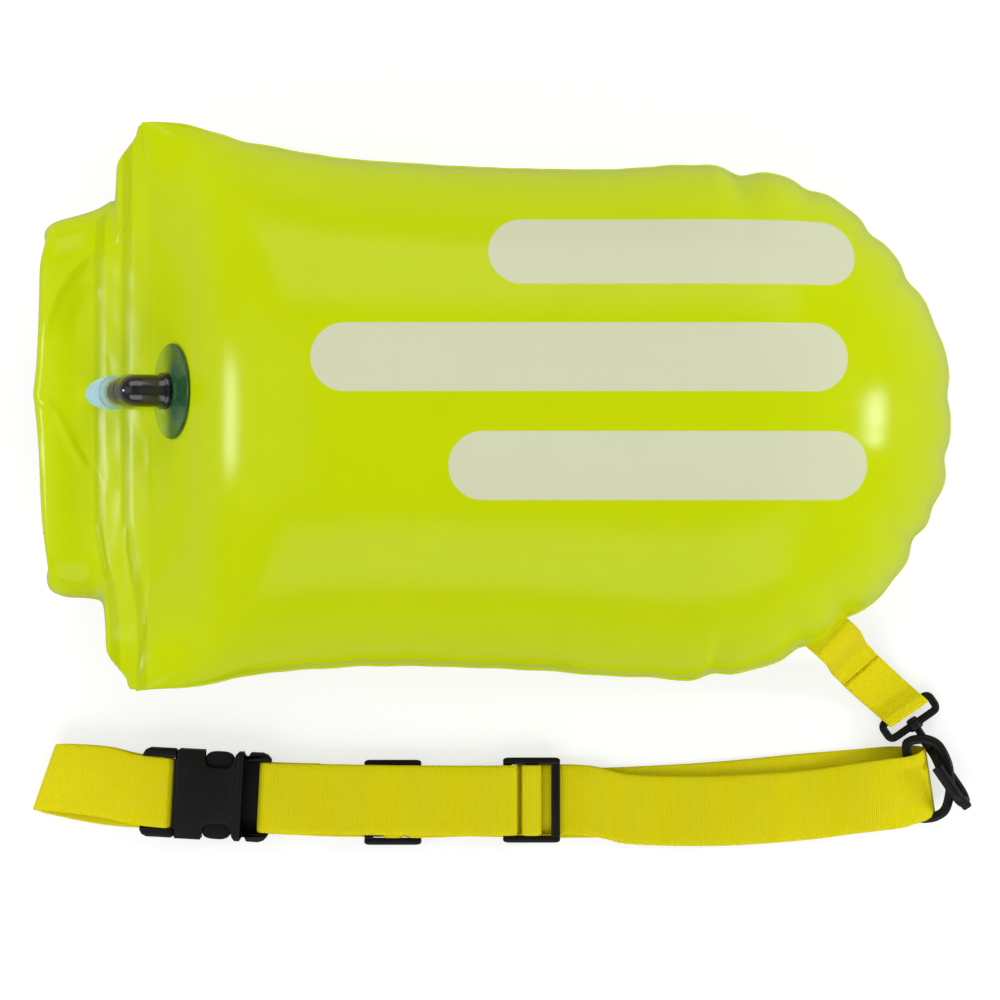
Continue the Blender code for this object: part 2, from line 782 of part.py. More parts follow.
def elbow_rings(collar):
    """Rings of the elbow: round ones along both legs, and ovals that fan round its inner corner."""
    spigot = SLEEVE_RADIUS - SLEEVE_WALL - CLEARANCE
    turns = [math.tau * n / ROUND_STEPS for n in range(ROUND_STEPS)]
    rings = []
    for x, radius in (
        (-FOOT_DEPTH, FOOT_RADIUS),
        (collar, FOOT_RADIUS),
        (collar, COLLAR_RADIUS),
        (collar + COLLAR_HEIGHT - FLANGE_LIP, COLLAR_RADIUS),
        (collar + COLLAR_HEIGHT, ELBOW_RADIUS),
    ):
        rings.append([Vector((x, radius * math.sin(a), radius * math.cos(a))) for a in turns])
    inner = Vector((ELBOW_REACH - ELBOW_RADIUS - ELBOW_FILLET, 0, -ELBOW_RADIUS - ELBOW_FILLET))
    reach = ELBOW_FILLET + 2 * ELBOW_RADIUS
    corner = ELBOW_RADIUS + ELBOW_FILLET
    for n in range(ELBOW_FAN + 1):
        angle = math.pi / 2 * n / ELBOW_FAN
        c, s = math.cos(angle), math.sin(angle)
        way = Vector((s, 0, c))
        edge = reach / max(c, s)
        room = ELBOW_RADIUS**2 - corner**2 * (c - s) ** 2
        if reach * min(c, s) / max(c, s) > corner and room > 0:
            edge = corner * (c + s) + math.sqrt(room)
        middle = inner + way * (edge + ELBOW_FILLET) / 2
        half = (edge - ELBOW_FILLET) / 2
        side = Vector((0, ELBOW_RADIUS, 0))
        rings.append([middle + way * half * math.cos(a) + side * math.sin(a) for a in turns])
    for depth, radius in (
        (ELBOW_LEG, ELBOW_RADIUS),
        (ELBOW_LEG, spigot),
        (ELBOW_LEG + SPIGOT_LENGTH, spigot),
    ):
        middle = Vector((ELBOW_REACH, 0, -depth))
        rings.append([middle + Vector((radius * math.cos(a), radius * math.sin(a), 0)) for a in turns])
    return rings


def passage_rings():
    """The air way through the elbow, with a mitred corner."""
    turns = [math.tau * n / SMALL_ROUND_STEPS for n in range(SMALL_ROUND_STEPS)]
    places = [(ELBOW_BORE * math.sin(a), ELBOW_BORE * math.cos(a)) for a in turns]
    end = -ELBOW_LEG - SPIGOT_LENGTH - OVERRUN
    start = [Vector((-FOOT_DEPTH - OVERRUN, y, z)) for y, z in places]
    mitre = [Vector((ELBOW_REACH + z, y, z)) for y, z in places]
    finish = [Vector((ELBOW_REACH + z, y, end)) for y, z in places]
    return [start, mitre, finish]


def valve(front_panel, finishes):
    axis = empty("valve_axis", valve_frame())
    hole = turned(
        "valve_hole",
        [
            (-BARREL_DEPTH, 0),
            (-BARREL_DEPTH, BARREL_RADIUS + CLEARANCE),
            (FLANGE_THICKNESS, BARREL_RADIUS + CLEARANCE),
            (FLANGE_THICKNESS, 0),
        ],
        solid=True,
    )
    boolean(front_panel, hole, "DIFFERENCE", parent=axis)

    top = CLEARANCE + FLANGE_THICKNESS
    bore = FOOT_RADIUS + CLEARANCE
    base = [
        (-BARREL_DEPTH, bore),
        (-BARREL_DEPTH, BARREL_RADIUS),
        (CLEARANCE, BARREL_RADIUS),
        (CLEARANCE, FLANGE_RADIUS - FLANGE_LIP),
        (CLEARANCE + FLANGE_LIP, FLANGE_RADIUS),
        (top, FLANGE_RADIUS - FLANGE_LIP),
        (top, NECK_RING_RADIUS),
        (top + NECK_RING_HEIGHT, NECK_RING_RADIUS - FLANGE_LIP),
        (top + NECK_RING_HEIGHT, bore),
    ]
    flange = turned("valve_base", base, ROUND_STEPS + SMALL_ROUND_STEPS)
    new_object("valve_base", flange, finishes["green"], axis)

    # Elbow: foot, collar and first leg along X, a domed corner, then the second leg along -Z
    collar = top + NECK_RING_HEIGHT + CLEARANCE
    rings = elbow_rings(collar)
    elbow = new_object("valve_elbow", lofted("valve_elbow", rings), finishes["gloss"], axis)
    boolean(elbow, lofted("elbow_passage", passage_rings()), "DIFFERENCE", axis)

    down = Matrix.Translation((ELBOW_REACH, 0, 0)) @ Matrix.Rotation(math.pi / 2, 4, "Y")
    mouth = empty("mouthpiece_axis", down, axis)
    mouthpiece(mouth, finishes)
    return axis


def mouthpiece(mouth, finishes):
    """Sleeve, seat, sprung stem and mouthpiece, all turned round the second leg of the elbow."""
    inner = SLEEVE_RADIUS - SLEEVE_WALL
    start = ELBOW_LEG + CLEARANCE
    end = start + SLEEVE_LENGTH
    seat = start + SEAT_DROP
    sleeve = [
        (start, inner),
        (start, SLEEVE_RADIUS),
        (end, SLEEVE_RADIUS),
        (end, inner),
        (seat + SEAT_THICKNESS, inner),
        (seat + SEAT_THICKNESS, SEAT_BORE),
        (seat, SEAT_BORE),
        (seat, inner),
    ]
    new_object("mouthpiece_sleeve", turned("mouthpiece_sleeve", sleeve), finishes["clear"], mouth)

    seal_top = seat - CLEARANCE
    seal = [
        (seal_top - SEAL_THICKNESS, SEAT_BORE),
        (seal_top - SEAL_THICKNESS, SEAT_BORE + SEAL_BREADTH),
        (seal_top, SEAT_BORE + SEAL_BREADTH),
        (seal_top, SEAT_BORE),
    ]
    new_object("valve_seal", turned("valve_seal", seal, SMALL_ROUND_STEPS), finishes["seal"], mouth)

    disc = seal_top - SEAL_THICKNESS - CLEARANCE
    stem_end = disc + STEM_LENGTH
    stem = [
        (disc - DISC_THICKNESS, 0),
        (disc - DISC_THICKNESS, DISC_RADIUS - FLANGE_LIP),
        (disc, DISC_RADIUS),
        (disc, STEM_RADIUS),
        (stem_end, STEM_RADIUS),
        (stem_end, 0),
    ]
    turned_stem = turned("valve_plunger", stem, SMALL_ROUND_STEPS, solid=True)
    plunger = new_object("valve_plunger", turned_stem, finishes["seal"], mouth)
    socket = SEAT_BORE - CLEARANCE
    fin = block(
        "plunger_fin",
        (stem_end - FIN_LENGTH, -socket + CLEARANCE, -FIN_THICKNESS / 2),
        (stem_end + FIN_THICKNESS, socket - CLEARANCE, FIN_THICKNESS / 2),
    )
    boolean(plunger, fin, "UNION")

    skirt = end - MOUTHPIECE_SKIRT
    rim = end + MOUTHPIECE_PUSH + CLEARANCE
    tip_end = rim + MOUTHPIECE_LENGTH
    tip = [
        (skirt, socket),
        (skirt, inner - CLEARANCE),
        (rim, inner - CLEARANCE),
        (rim, SLEEVE_RADIUS),
        (rim + MOUTHPIECE_RIM, SLEEVE_RADIUS),
    ]
    taper_start = SLEEVE_RADIUS - MOUTHPIECE_RIM / 2
    taper_length = MOUTHPIECE_LENGTH - MOUTHPIECE_RIM - MOUTHPIECE_END_RADIUS
    for n in range(MOUTHPIECE_RIBS):
        for share, lift in RIB_SHARES:
            part = (n + share) / MOUTHPIECE_RIBS
            radius = taper_start + (MOUTHPIECE_END_RADIUS - taper_start) * part + RIB_HEIGHT * lift
            tip.append((rim + MOUTHPIECE_RIM + taper_length * part, radius))
    middle = tip_end - MOUTHPIECE_END_RADIUS
    for n in range(4):
        angle = MOUTHPIECE_ROUND * n / 3
        out = MOUTHPIECE_END_RADIUS * math.sin(angle)
        tip.append((middle + out, MOUTHPIECE_END_RADIUS * math.cos(angle)))
    tip.append((tip_end - MOUTHPIECE_CHAMFER, MOUTHPIECE_BORE))
    bore_end = stem_end + FIN_THICKNESS + CLEARANCE
    tip.append((bore_end, MOUTHPIECE_BORE))
    tip.append((bore_end, socket))
    cap = turned("mouthpiece_tip", tip, ROUND_STEPS - WIRE_SIDES)
    new_object("mouthpiece_tip", cap, finishes["blue"], mouth)

    spring_start = seat + SEAT_THICKNESS + CLEARANCE + SPRING_WIRE
    spring_end = skirt - CLEARANCE - SPRING_WIRE
    path = []
    for n in range(SPRING_TURNS * SPRING_STEPS + 1):
        angle = math.tau * n / SPRING_STEPS
        share = n / (SPRING_TURNS * SPRING_STEPS)
        x = spring_start + (spring_end - spring_start) * share
        path.append(Vector((x, SPRING_RADIUS * math.cos(angle), SPRING_RADIUS * math.sin(angle))))
    pitch = (spring_end - spring_start) / SPRING_TURNS
    print(f"valve_spring: least gap between its turns {pitch - 2 * SPRING_WIRE:.5f} m")
    coil = tube("valve_spring", path, SPRING_WIRE, WIRE_SIDES)
    new_object("valve_spring", coil, finishes["steel"], mouth)


def arm_outline(side, ratio):
    """Plan of a buckle arm, from its round root to its lug, for the side at +Y (1) or -Y (-1)."""
    root_x = BLOCK_LENGTH + CLEARANCE + ARM_ROOT_RADIUS
    points = []
    for n in range(7):
        angle = math.pi / 2 + math.pi * n / 6
        out, up = ARM_ROOT_RADIUS * math.cos(angle), ARM_ROOT_RADIUS * math.sin(angle)
        points.append((root_x + out, ARM_PIVOT_Y + up))
    lug = [
        (WINDOW_START + ARM_SHOULDER_GAP + WINDOW_LENGTH * x, BUCKLE_WIDTH / 2 * y)
        for x, y in reversed(LUG_SHARES)
    ]
    neck_point = (WINDOW_START - ARM_SHOULDER_GAP, ARM_PIVOT_Y + ARM_ROOT_RADIUS)
    outline = points + lug + [(neck_point[0] + 2 * ARM_SHOULDER_GAP, neck_point[1]), neck_point]
    return [(x * ratio, y * side * ratio) for x, y in outline]


def side_release_buckle(names, matrix, ratio, finish):
    """Female part from x = 0 on, male part before it, two arms in the cavity. ratio scales every size."""
    female_name, male_name, arm_names = names
    axis = empty(f"{female_name}_axis", matrix)

    def box(name, x0, x1, half_y0, half_y1, z0, z1):
        low = Vector((x0, half_y0, z0)) * ratio
        return block(name, low, Vector((x1, half_y1, z1)) * ratio)

    def plate(name, outline, half_depth):
        scaled = [(x * ratio, y * ratio) for x, y in outline]
        return slab(name, scaled, -half_depth * ratio, half_depth * ratio)

    half = BUCKLE_WIDTH / 2
    total = FEMALE_LENGTH + FRAME_LENGTH
    lobe = BELT_WIDTH / 2 + LOBE_MARGIN
    bar_start = FEMALE_LENGTH + CLEARANCE / ratio + FEMALE_SLOT
    body = plate(female_name, rounded(FEMALE_LENGTH, BUCKLE_WIDTH, BUCKLE_BEVEL), FEMALE_DEPTH / 2)
    female = new_object(female_name, body, finish, axis)
    bevel(female, BUCKLE_BEVEL * ratio)
    frame_start = FEMALE_LENGTH - FRAME_LENGTH / 2
    frame_outline = rounded(total - frame_start, BUCKLE_WIDTH, FRAME_CORNER, frame_start)
    boolean(female, plate("rear_frame", frame_outline, FRAME_DEPTH / 2), "UNION")
    lip_start, lip_side, lip_z = FEMALE_LENGTH - LIP_LENGTH, half - BUCKLE_BEVEL, FEMALE_DEPTH / 2
    lip = box("rear_lip", lip_start, FEMALE_LENGTH, -lip_side, lip_side, -lip_z + LIP_RISE, lip_z + LIP_RISE)
    boolean(female, lip, "UNION")
    room, window_end = CAVITY_DEPTH / 2, WINDOW_START + WINDOW_LENGTH
    for name, x0, x1, y, z0, z1 in (
        ("cavity", -OVERRUN, CAVITY_LENGTH, CAVITY_WIDTH / 2, -room, room),
        ("window", WINDOW_START, window_end, half + OVERRUN, -room, room),
        ("slot", FEMALE_LENGTH + CLEARANCE, bar_start, lobe, -FEMALE_DEPTH, FEMALE_DEPTH),
        ("bar_top", FEMALE_LENGTH + CLEARANCE, total + OVERRUN, lobe, BAR_THICKNESS / 2, FEMALE_DEPTH),
        ("bar_under", FEMALE_LENGTH + CLEARANCE, total + OVERRUN, lobe, -FEMALE_DEPTH, -BAR_THICKNESS / 2),
    ):
        boolean(female, box(name, x0, x1, -y, y, z0, z1), "DIFFERENCE")
    for side in (1, -1):
        outline = [
            (NOTCH_PLACE - NOTCH_LENGTH, side * (half + OVERRUN)),
            (NOTCH_PLACE + NOTCH_LENGTH, side * (half + OVERRUN)),
            (NOTCH_PLACE, side * (half - NOTCH_DEPTH)),
        ]
        boolean(female, plate("notch", outline, FEMALE_DEPTH), "DIFFERENCE")

    base = rounded(MALE_LENGTH - CLEARANCE, BUCKLE_WIDTH, FRAME_CORNER, -MALE_LENGTH)
    male = new_object(male_name, plate(male_name, base, FRAME_DEPTH / 2), finish, axis)
    bevel(male, BUCKLE_BEVEL * ratio)
    inner = CAVITY_WIDTH / 2 - CLEARANCE
    deep = CAVITY_DEPTH / 2 - CLEARANCE
    boolean(male, box("male_block", -MALE_WEB, BLOCK_LENGTH, -inner, inner, -deep, deep), "UNION")
    side, up = RAIL_WIDTH / 2, RAIL_THICKNESS / 2
    rail = box("male_rail", BLOCK_LENGTH - OVERRUN, BLOCK_LENGTH + RAIL_LENGTH, -side, side, -up, up)
    boolean(male, rail, "UNION")
    slot_end = -MALE_WEB
    for name, x0, x1, z0, z1 in (
        ("male_slot", slot_end - MALE_SLOT, slot_end, -FEMALE_DEPTH, FEMALE_DEPTH),
        ("male_top", -MALE_LENGTH - OVERRUN, slot_end, BAR_THICKNESS / 2, FEMALE_DEPTH),
        ("male_under", -MALE_LENGTH - OVERRUN, slot_end, -FEMALE_DEPTH, -BAR_THICKNESS / 2),
    ):
        boolean(male, box(name, x0, x1, -lobe, lobe, z0, z1), "DIFFERENCE")

    pivot_x = (BLOCK_LENGTH + CLEARANCE + ARM_ROOT_RADIUS) * ratio
    for side, arm_name in zip((1, -1), arm_names):
        pivot_y = side * ARM_PIVOT_Y * ratio
        outline = [(x - pivot_x, y - pivot_y) for x, y in arm_outline(side, ratio)]
        arm_half = ARM_THICKNESS / 2 * ratio
        arm = new_object(arm_name, slab(arm_name, outline, -arm_half, arm_half), finish, axis)
        arm.location = (pivot_x, pivot_y, 0)
    return axis


def slider_frame(name, x, y, z, finish):
    half = SLIDER_LENGTH / 2
    outline = rounded(SLIDER_LENGTH, SLIDER_WIDTH, SLIDER_CORNER, -half)
    frame = new_object(name, slab(name, outline, -SLIDER_THICKNESS / 2, SLIDER_THICKNESS / 2), finish)
    frame.location = (x, y, z)
    bevel(frame, SLIDER_BEVEL)
    guide = empty(f"{name}_guide", Matrix.Translation((x, y, z)))
    reach = SLIDER_WIDTH / 2 - SLIDER_RAIL
    centre = SLIDER_CENTRE_BAR / 2
    for x0, x1 in ((-half + SLIDER_OUTER_BAR, -centre), (centre, half - SLIDER_OUTER_BAR)):
        opening = rounded(x1 - x0, 2 * reach, SLIDER_BEVEL, x0, 2)
        slot = slab(f"{name}_slot", opening, -SLIDER_THICKNESS, SLIDER_THICKNESS)
        boolean(frame, slot, "DIFFERENCE", parent=guide)
    return frame


def wrap_path(side):
    """Sewn end round the centre bar of a slider, for a strap that comes from +X (1) or -X (-1)."""
    back_x = SLIDER_CENTRE_BAR / 2 - SLIDER_THICKNESS * SLIDER_TURN_SHARE
    path = [(back_x, -SLIDER_NEAR)]
    path += arc(-back_x, 0, SLIDER_NEAR, -90, -270, 8)
    path += arc(back_x, 0, SLIDER_NEAR, 90, 0, 4)
    return [(side * x, z) for x, z in path]


def pass_path(side):
    """Through strap at a slider: under the centre bar, then over the outer bar away from the wrap."""
    half = SLIDER_LENGTH / 2
    outer = half - SLIDER_OUTER_BAR
    middle = outer - SLIDER_THICKNESS * SLIDER_DIVE_SHARE
    path = [
        (half - SLIDER_OUTER_BAR * SLIDER_LEAVE_SHARE, -SLIDER_FAR),
        (-SLIDER_CENTRE_BAR * SLIDER_LEAVE_SHARE, -SLIDER_FAR),
        (-SLIDER_CENTRE_BAR, -SLIDER_FAR + CLEARANCE),
        (-middle + CLEARANCE * 2, -SLIDER_NEAR + CLEARANCE * 2),
        (-middle, 0),
        (-outer + 5 * CLEARANCE, SLIDER_NEAR - 3 * CLEARANCE),
        (-outer + CLEARANCE, SLIDER_NEAR - CLEARANCE / 2),
        (-outer - 2 * CLEARANCE, SLIDER_NEAR),
        (-half + SLIDER_OUTER_BAR / 2, SLIDER_NEAR),
        (-half, SLIDER_NEAR),
    ]
    return [(side * x, z) for x, z in path]


def moved(path, x, z):
    return [(px + x, pz + z) for px, pz in path]


def fold_skew(x):
    """How far a layer's edges lean in plan near the folds at both ends of the belt."""
    left = LOOP_FOLD_SKEW_SHARE * max(0.0, 1 - (x - LOOP_FOLD_X) / (BUCKLE_X - MALE_LENGTH - LOOP_FOLD_X))
    right = RING_FOLD_SKEW_SHARE * max(0.0, 1 - (RING_FOLD_X - x) / RING_FOLD_SKEW_RUN)
    return min(left, LOOP_FOLD_SKEW_SHARE) + max(right, RING_FOLD_SKEW_SHARE)


def pinch(x):
    """The webbing is gathered where it goes through the ring."""
    share = min(max((x - RING_LEG_X + RING_PINCH_RUN) / RING_PINCH_RUN, 0.0), 1.0)
    return 1 - RING_PINCH_SHARE * share * share * (3 - 2 * share)


def stations(path, line, turn=0.0):
    """Give each (x, z) point of a strap its middle line in plan, its skew and its width."""
    out = []
    for x, z in path:
        in_buckle = BUCKLE_X - MALE_LENGTH <= x <= BUCKLE_X + FEMALE_LENGTH + FRAME_LENGTH
        skew = -math.tan(turn) if in_buckle else fold_skew(x)
        out.append((x, along(line, x), z, skew, pinch(x)))
    return out


def blended(path, line_a, line_b):
    """Like stations, but the middle line goes from one table to another along the path's points."""
    out = []
    for n, (x, z) in enumerate(path):
        share = n / (len(path) - 1)
        y = along(line_a, x) * (1 - share) + along(line_b, x) * share
        out.append((x, y, z, fold_skew(x), pinch(x)))
    return out


def run(x0, z0, x1, z1, steps):
    """Straight points between two places, without the last."""
    return [(x0 + (x1 - x0) * n / steps, z0 + (z1 - z0) * n / steps) for n in range(steps)]


def eased(x0, z0, x1, z1, steps):
    """A rise or fall that starts and ends level, without its last point."""
    out = []
    for n in range(steps):
        t = n / steps
        out.append((x0 + (x1 - x0) * t, z0 + (z1 - z0) * t * t * (3 - 2 * t)))
    return out


def belt(finish):
    fold_z = level(0) + LOOP_FOLD_LIFT + LEVEL_PITCH / 2
    outer = fold_z - level(0)
    inner = fold_z - level(1)
    male_left = BUCKLE_X - MALE_LENGTH
    wrap_x = BUCKLE_X - MALE_WEB - MALE_SLOT
    # Loop on the male part: inner layer to the fold, round the bar, outer layer back over the fold
    path = run(BELT_SPLIT_X - CLEARANCE, level(1), LOOP_FOLD_X, level(1), 14)
    turn_in = arc(LOOP_FOLD_X, fold_z, inner, -90, -270, 8)
    lower = eased(LOOP_FOLD_X, fold_z + inner, male_left, BUCKLE_Z - BAR_WRAP, 6)[1:]
    wrap = [(male_left, BUCKLE_Z - BAR_WRAP)] + arc(wrap_x, BUCKLE_Z, BAR_WRAP, -90, 90, 8)
    upper = [(male_left, BUCKLE_Z + BAR_WRAP)]
    upper += eased(male_left, BUCKLE_Z + BAR_WRAP, LOOP_FOLD_X, fold_z + outer, 6)[1:]
    turn_out = arc(LOOP_FOLD_X, fold_z, outer, 90, 270, 10)
    back = run(LOOP_FOLD_X, level(0), BELT_SPLIT_X - CLEARANCE, level(0), 14)[1:]
    back.append((BELT_SPLIT_X - CLEARANCE, level(0)))
    places = stations(path, FLOOR_LINE)
    places += blended(turn_in, FLOOR_LINE, FRONT_LINE)
    places += stations(lower + wrap + upper, FRONT_LINE, BUCKLE_TURN)
    places += blended(turn_out, FRONT_LINE, FLOOR_LINE)
    places += stations(back, FLOOR_LINE)
    loop = ribbon("belt_loop_strap", flat_in_buckle(places, path, back), BELT_WIDTH)
    new_object("belt_loop_strap", loop, finish)

    # Sewn end on the centre bar of the rear slider
    tail = run(BELT_SPLIT_X + CLEARANCE, level(1), REAR_SLIDER_X - SLIDER_CENTRE_BAR / 2, level(1), 3)
    tail += moved(wrap_path(-1), REAR_SLIDER_X, REAR_SLIDER_Z)
    places = slider_stations(tail, REAR_SLIDER_X, FLOOR_LINE)
    new_object("belt_end_strap", ribbon("belt_end_strap", places, BELT_WIDTH), finish)

    # Main strap: through the rear slider, along the floor, round the ring's leg and back to the front slider
    through = moved(pass_path(-1), REAR_SLIDER_X, REAR_SLIDER_Z)
    main = [(BELT_SPLIT_X + CLEARANCE, level(0))] + through
    rest_x = REAR_SLIDER_X + SLIDER_LENGTH / 2
    main += eased(rest_x, REAR_SLIDER_Z + SLIDER_NEAR, rest_x + SLIDER_LENGTH, level(0), 6)[1:]
    main += run(rest_x + SLIDER_LENGTH, level(0), RING_FOLD_X, level(0), 14)
    radius = (RING_FOLD_DROP + WEBBING_THICKNESS) / 2
    over = arc(RING_FOLD_X, level(0) + radius, radius, -90, 90, 10)
    top = level(0) + 2 * radius
    fall_x = RING_LEG_X - RING_BAR
    under_x = TAIL_END_X + SLIDER_THICKNESS
    upper_run = [(RING_FOLD_X - RING_BAR, top)]
    upper_run += eased(fall_x, top, under_x, level(2), 8)
    upper_run += run(under_x, level(2), FRONT_SLIDER_X + SLIDER_CENTRE_BAR, level(2), 10)
    upper_run += moved(wrap_path(1), FRONT_SLIDER_X, FRONT_SLIDER_Z)
    places = slider_stations(main, REAR_SLIDER_X, FLOOR_LINE)
    places += blended(over, FLOOR_LINE, FRONT_LINE)
    places += slider_stations(upper_run, FRONT_SLIDER_X, FRONT_LINE)
    new_object("belt_main_strap", ribbon("belt_main_strap", places, BELT_WIDTH), finish)

    # Adjusting strap: sewn round the bar of the female part, through the front slider, with a free tail
    female_right = BUCKLE_X + FEMALE_LENGTH + FRAME_LENGTH
    bar_x = BUCKLE_X + FEMALE_LENGTH + CLEARANCE + FEMALE_SLOT
    sewn_x = female_right + SEWN_RUN
    high = FRONT_SLIDER_Z + SLIDER_NEAR
    path = eased(sewn_x, high - 2 * LEVEL_PITCH, female_right, BUCKLE_Z - BAR_WRAP, 4)
    path += [(female_right, BUCKLE_Z - BAR_WRAP)] + arc(bar_x, BUCKLE_Z, BAR_WRAP, 270, 90, 8)
    path += [(female_right, BUCKLE_Z + BAR_WRAP)]
    path += eased(female_right, BUCKLE_Z + BAR_WRAP, sewn_x, high, 5)[1:]
    path += run(sewn_x, high, FRONT_SLIDER_X - SLIDER_LENGTH / 2 - CLEARANCE, high, 8)
    path += reversed(moved(pass_path(1), FRONT_SLIDER_X, FRONT_SLIDER_Z))
    path += run(FRONT_SLIDER_X + SLIDER_LENGTH / 2, level(1), TAIL_END_X, level(1), 8)
    path.append((TAIL_END_X, level(1)))
    places = slider_stations(path, FRONT_SLIDER_X, FRONT_LINE)
    new_object("belt_adjust_strap", ribbon("belt_adjust_strap", places, BELT_WIDTH), finish)


def flat_in_buckle(places, path, back):
    """The floor layers pass under the buckle without its turn."""
    ends = len(places) - len(back)
    out = []
    for n, (x, y, z, skew, share) in enumerate(places):
        out.append((x, y, z, fold_skew(x) if n < len(path) or n >= ends else skew, share))
    return out


def slider_stations(path, slider_x, line):
    """Stations whose middle line is level where the strap threads a slider."""
    slider_y = along(line, slider_x)
    out = []
    for x, y, z, skew, share in stations(path, line, BUCKLE_TURN if line is FRONT_LINE else 0.0):
        near = max(0.0, 1 - max(0.0, abs(x - slider_x) - SLIDER_LENGTH / 2) / SLIDER_LENGTH)
        out.append((x, y + (slider_y - y) * near, z, skew, share))
    return out


def ring(finish):
    """A closed bar with a rounded section, tipped about its straight leg."""
    line = [(RING_REACH * x, RING_HEIGHT / 2 * y, 0) for x, y in RING_LINE_SHARES]
    line = smooth_line(line, 2, closed=True)
    count = len(line)
    rings = []
    for n, point in enumerate(line):
        way = (line[(n + 1) % count] - line[n - 1]).normalized()
        out = Vector((way.y, -way.x, 0))
        section = oval(RING_BAR, RING_THICKNESS, 8)
        rings.append([point + out * across + Vector((0, 0, through)) for across, through in section])
    made = new_object("d_ring", lofted("d_ring", rings, closed=True), finish)
    made.location = (RING_LEG_X, RING_LEG_Y, RING_LEG_Z)
    made.rotation_euler = (0, RING_TILT, RING_TURN)
    return made


def hook_line():
    """Middle line of the hook in its own XZ plane: neck, shank, bend and jaw."""
    top = 2 * HOOK_BEND_RADIUS
    line = [(HOOK_SHANK_START, 0.0), ((HOOK_SHANK_START + HOOK_BEND_START) / 2, 0.0)]
    line += arc(HOOK_BEND_START, HOOK_BEND_RADIUS, HOOK_BEND_RADIUS, -90, 90, 10)
    line += [((HOOK_BEND_START + HOOK_JAW_END) / 2, top), (HOOK_JAW_END, top)]
    return line


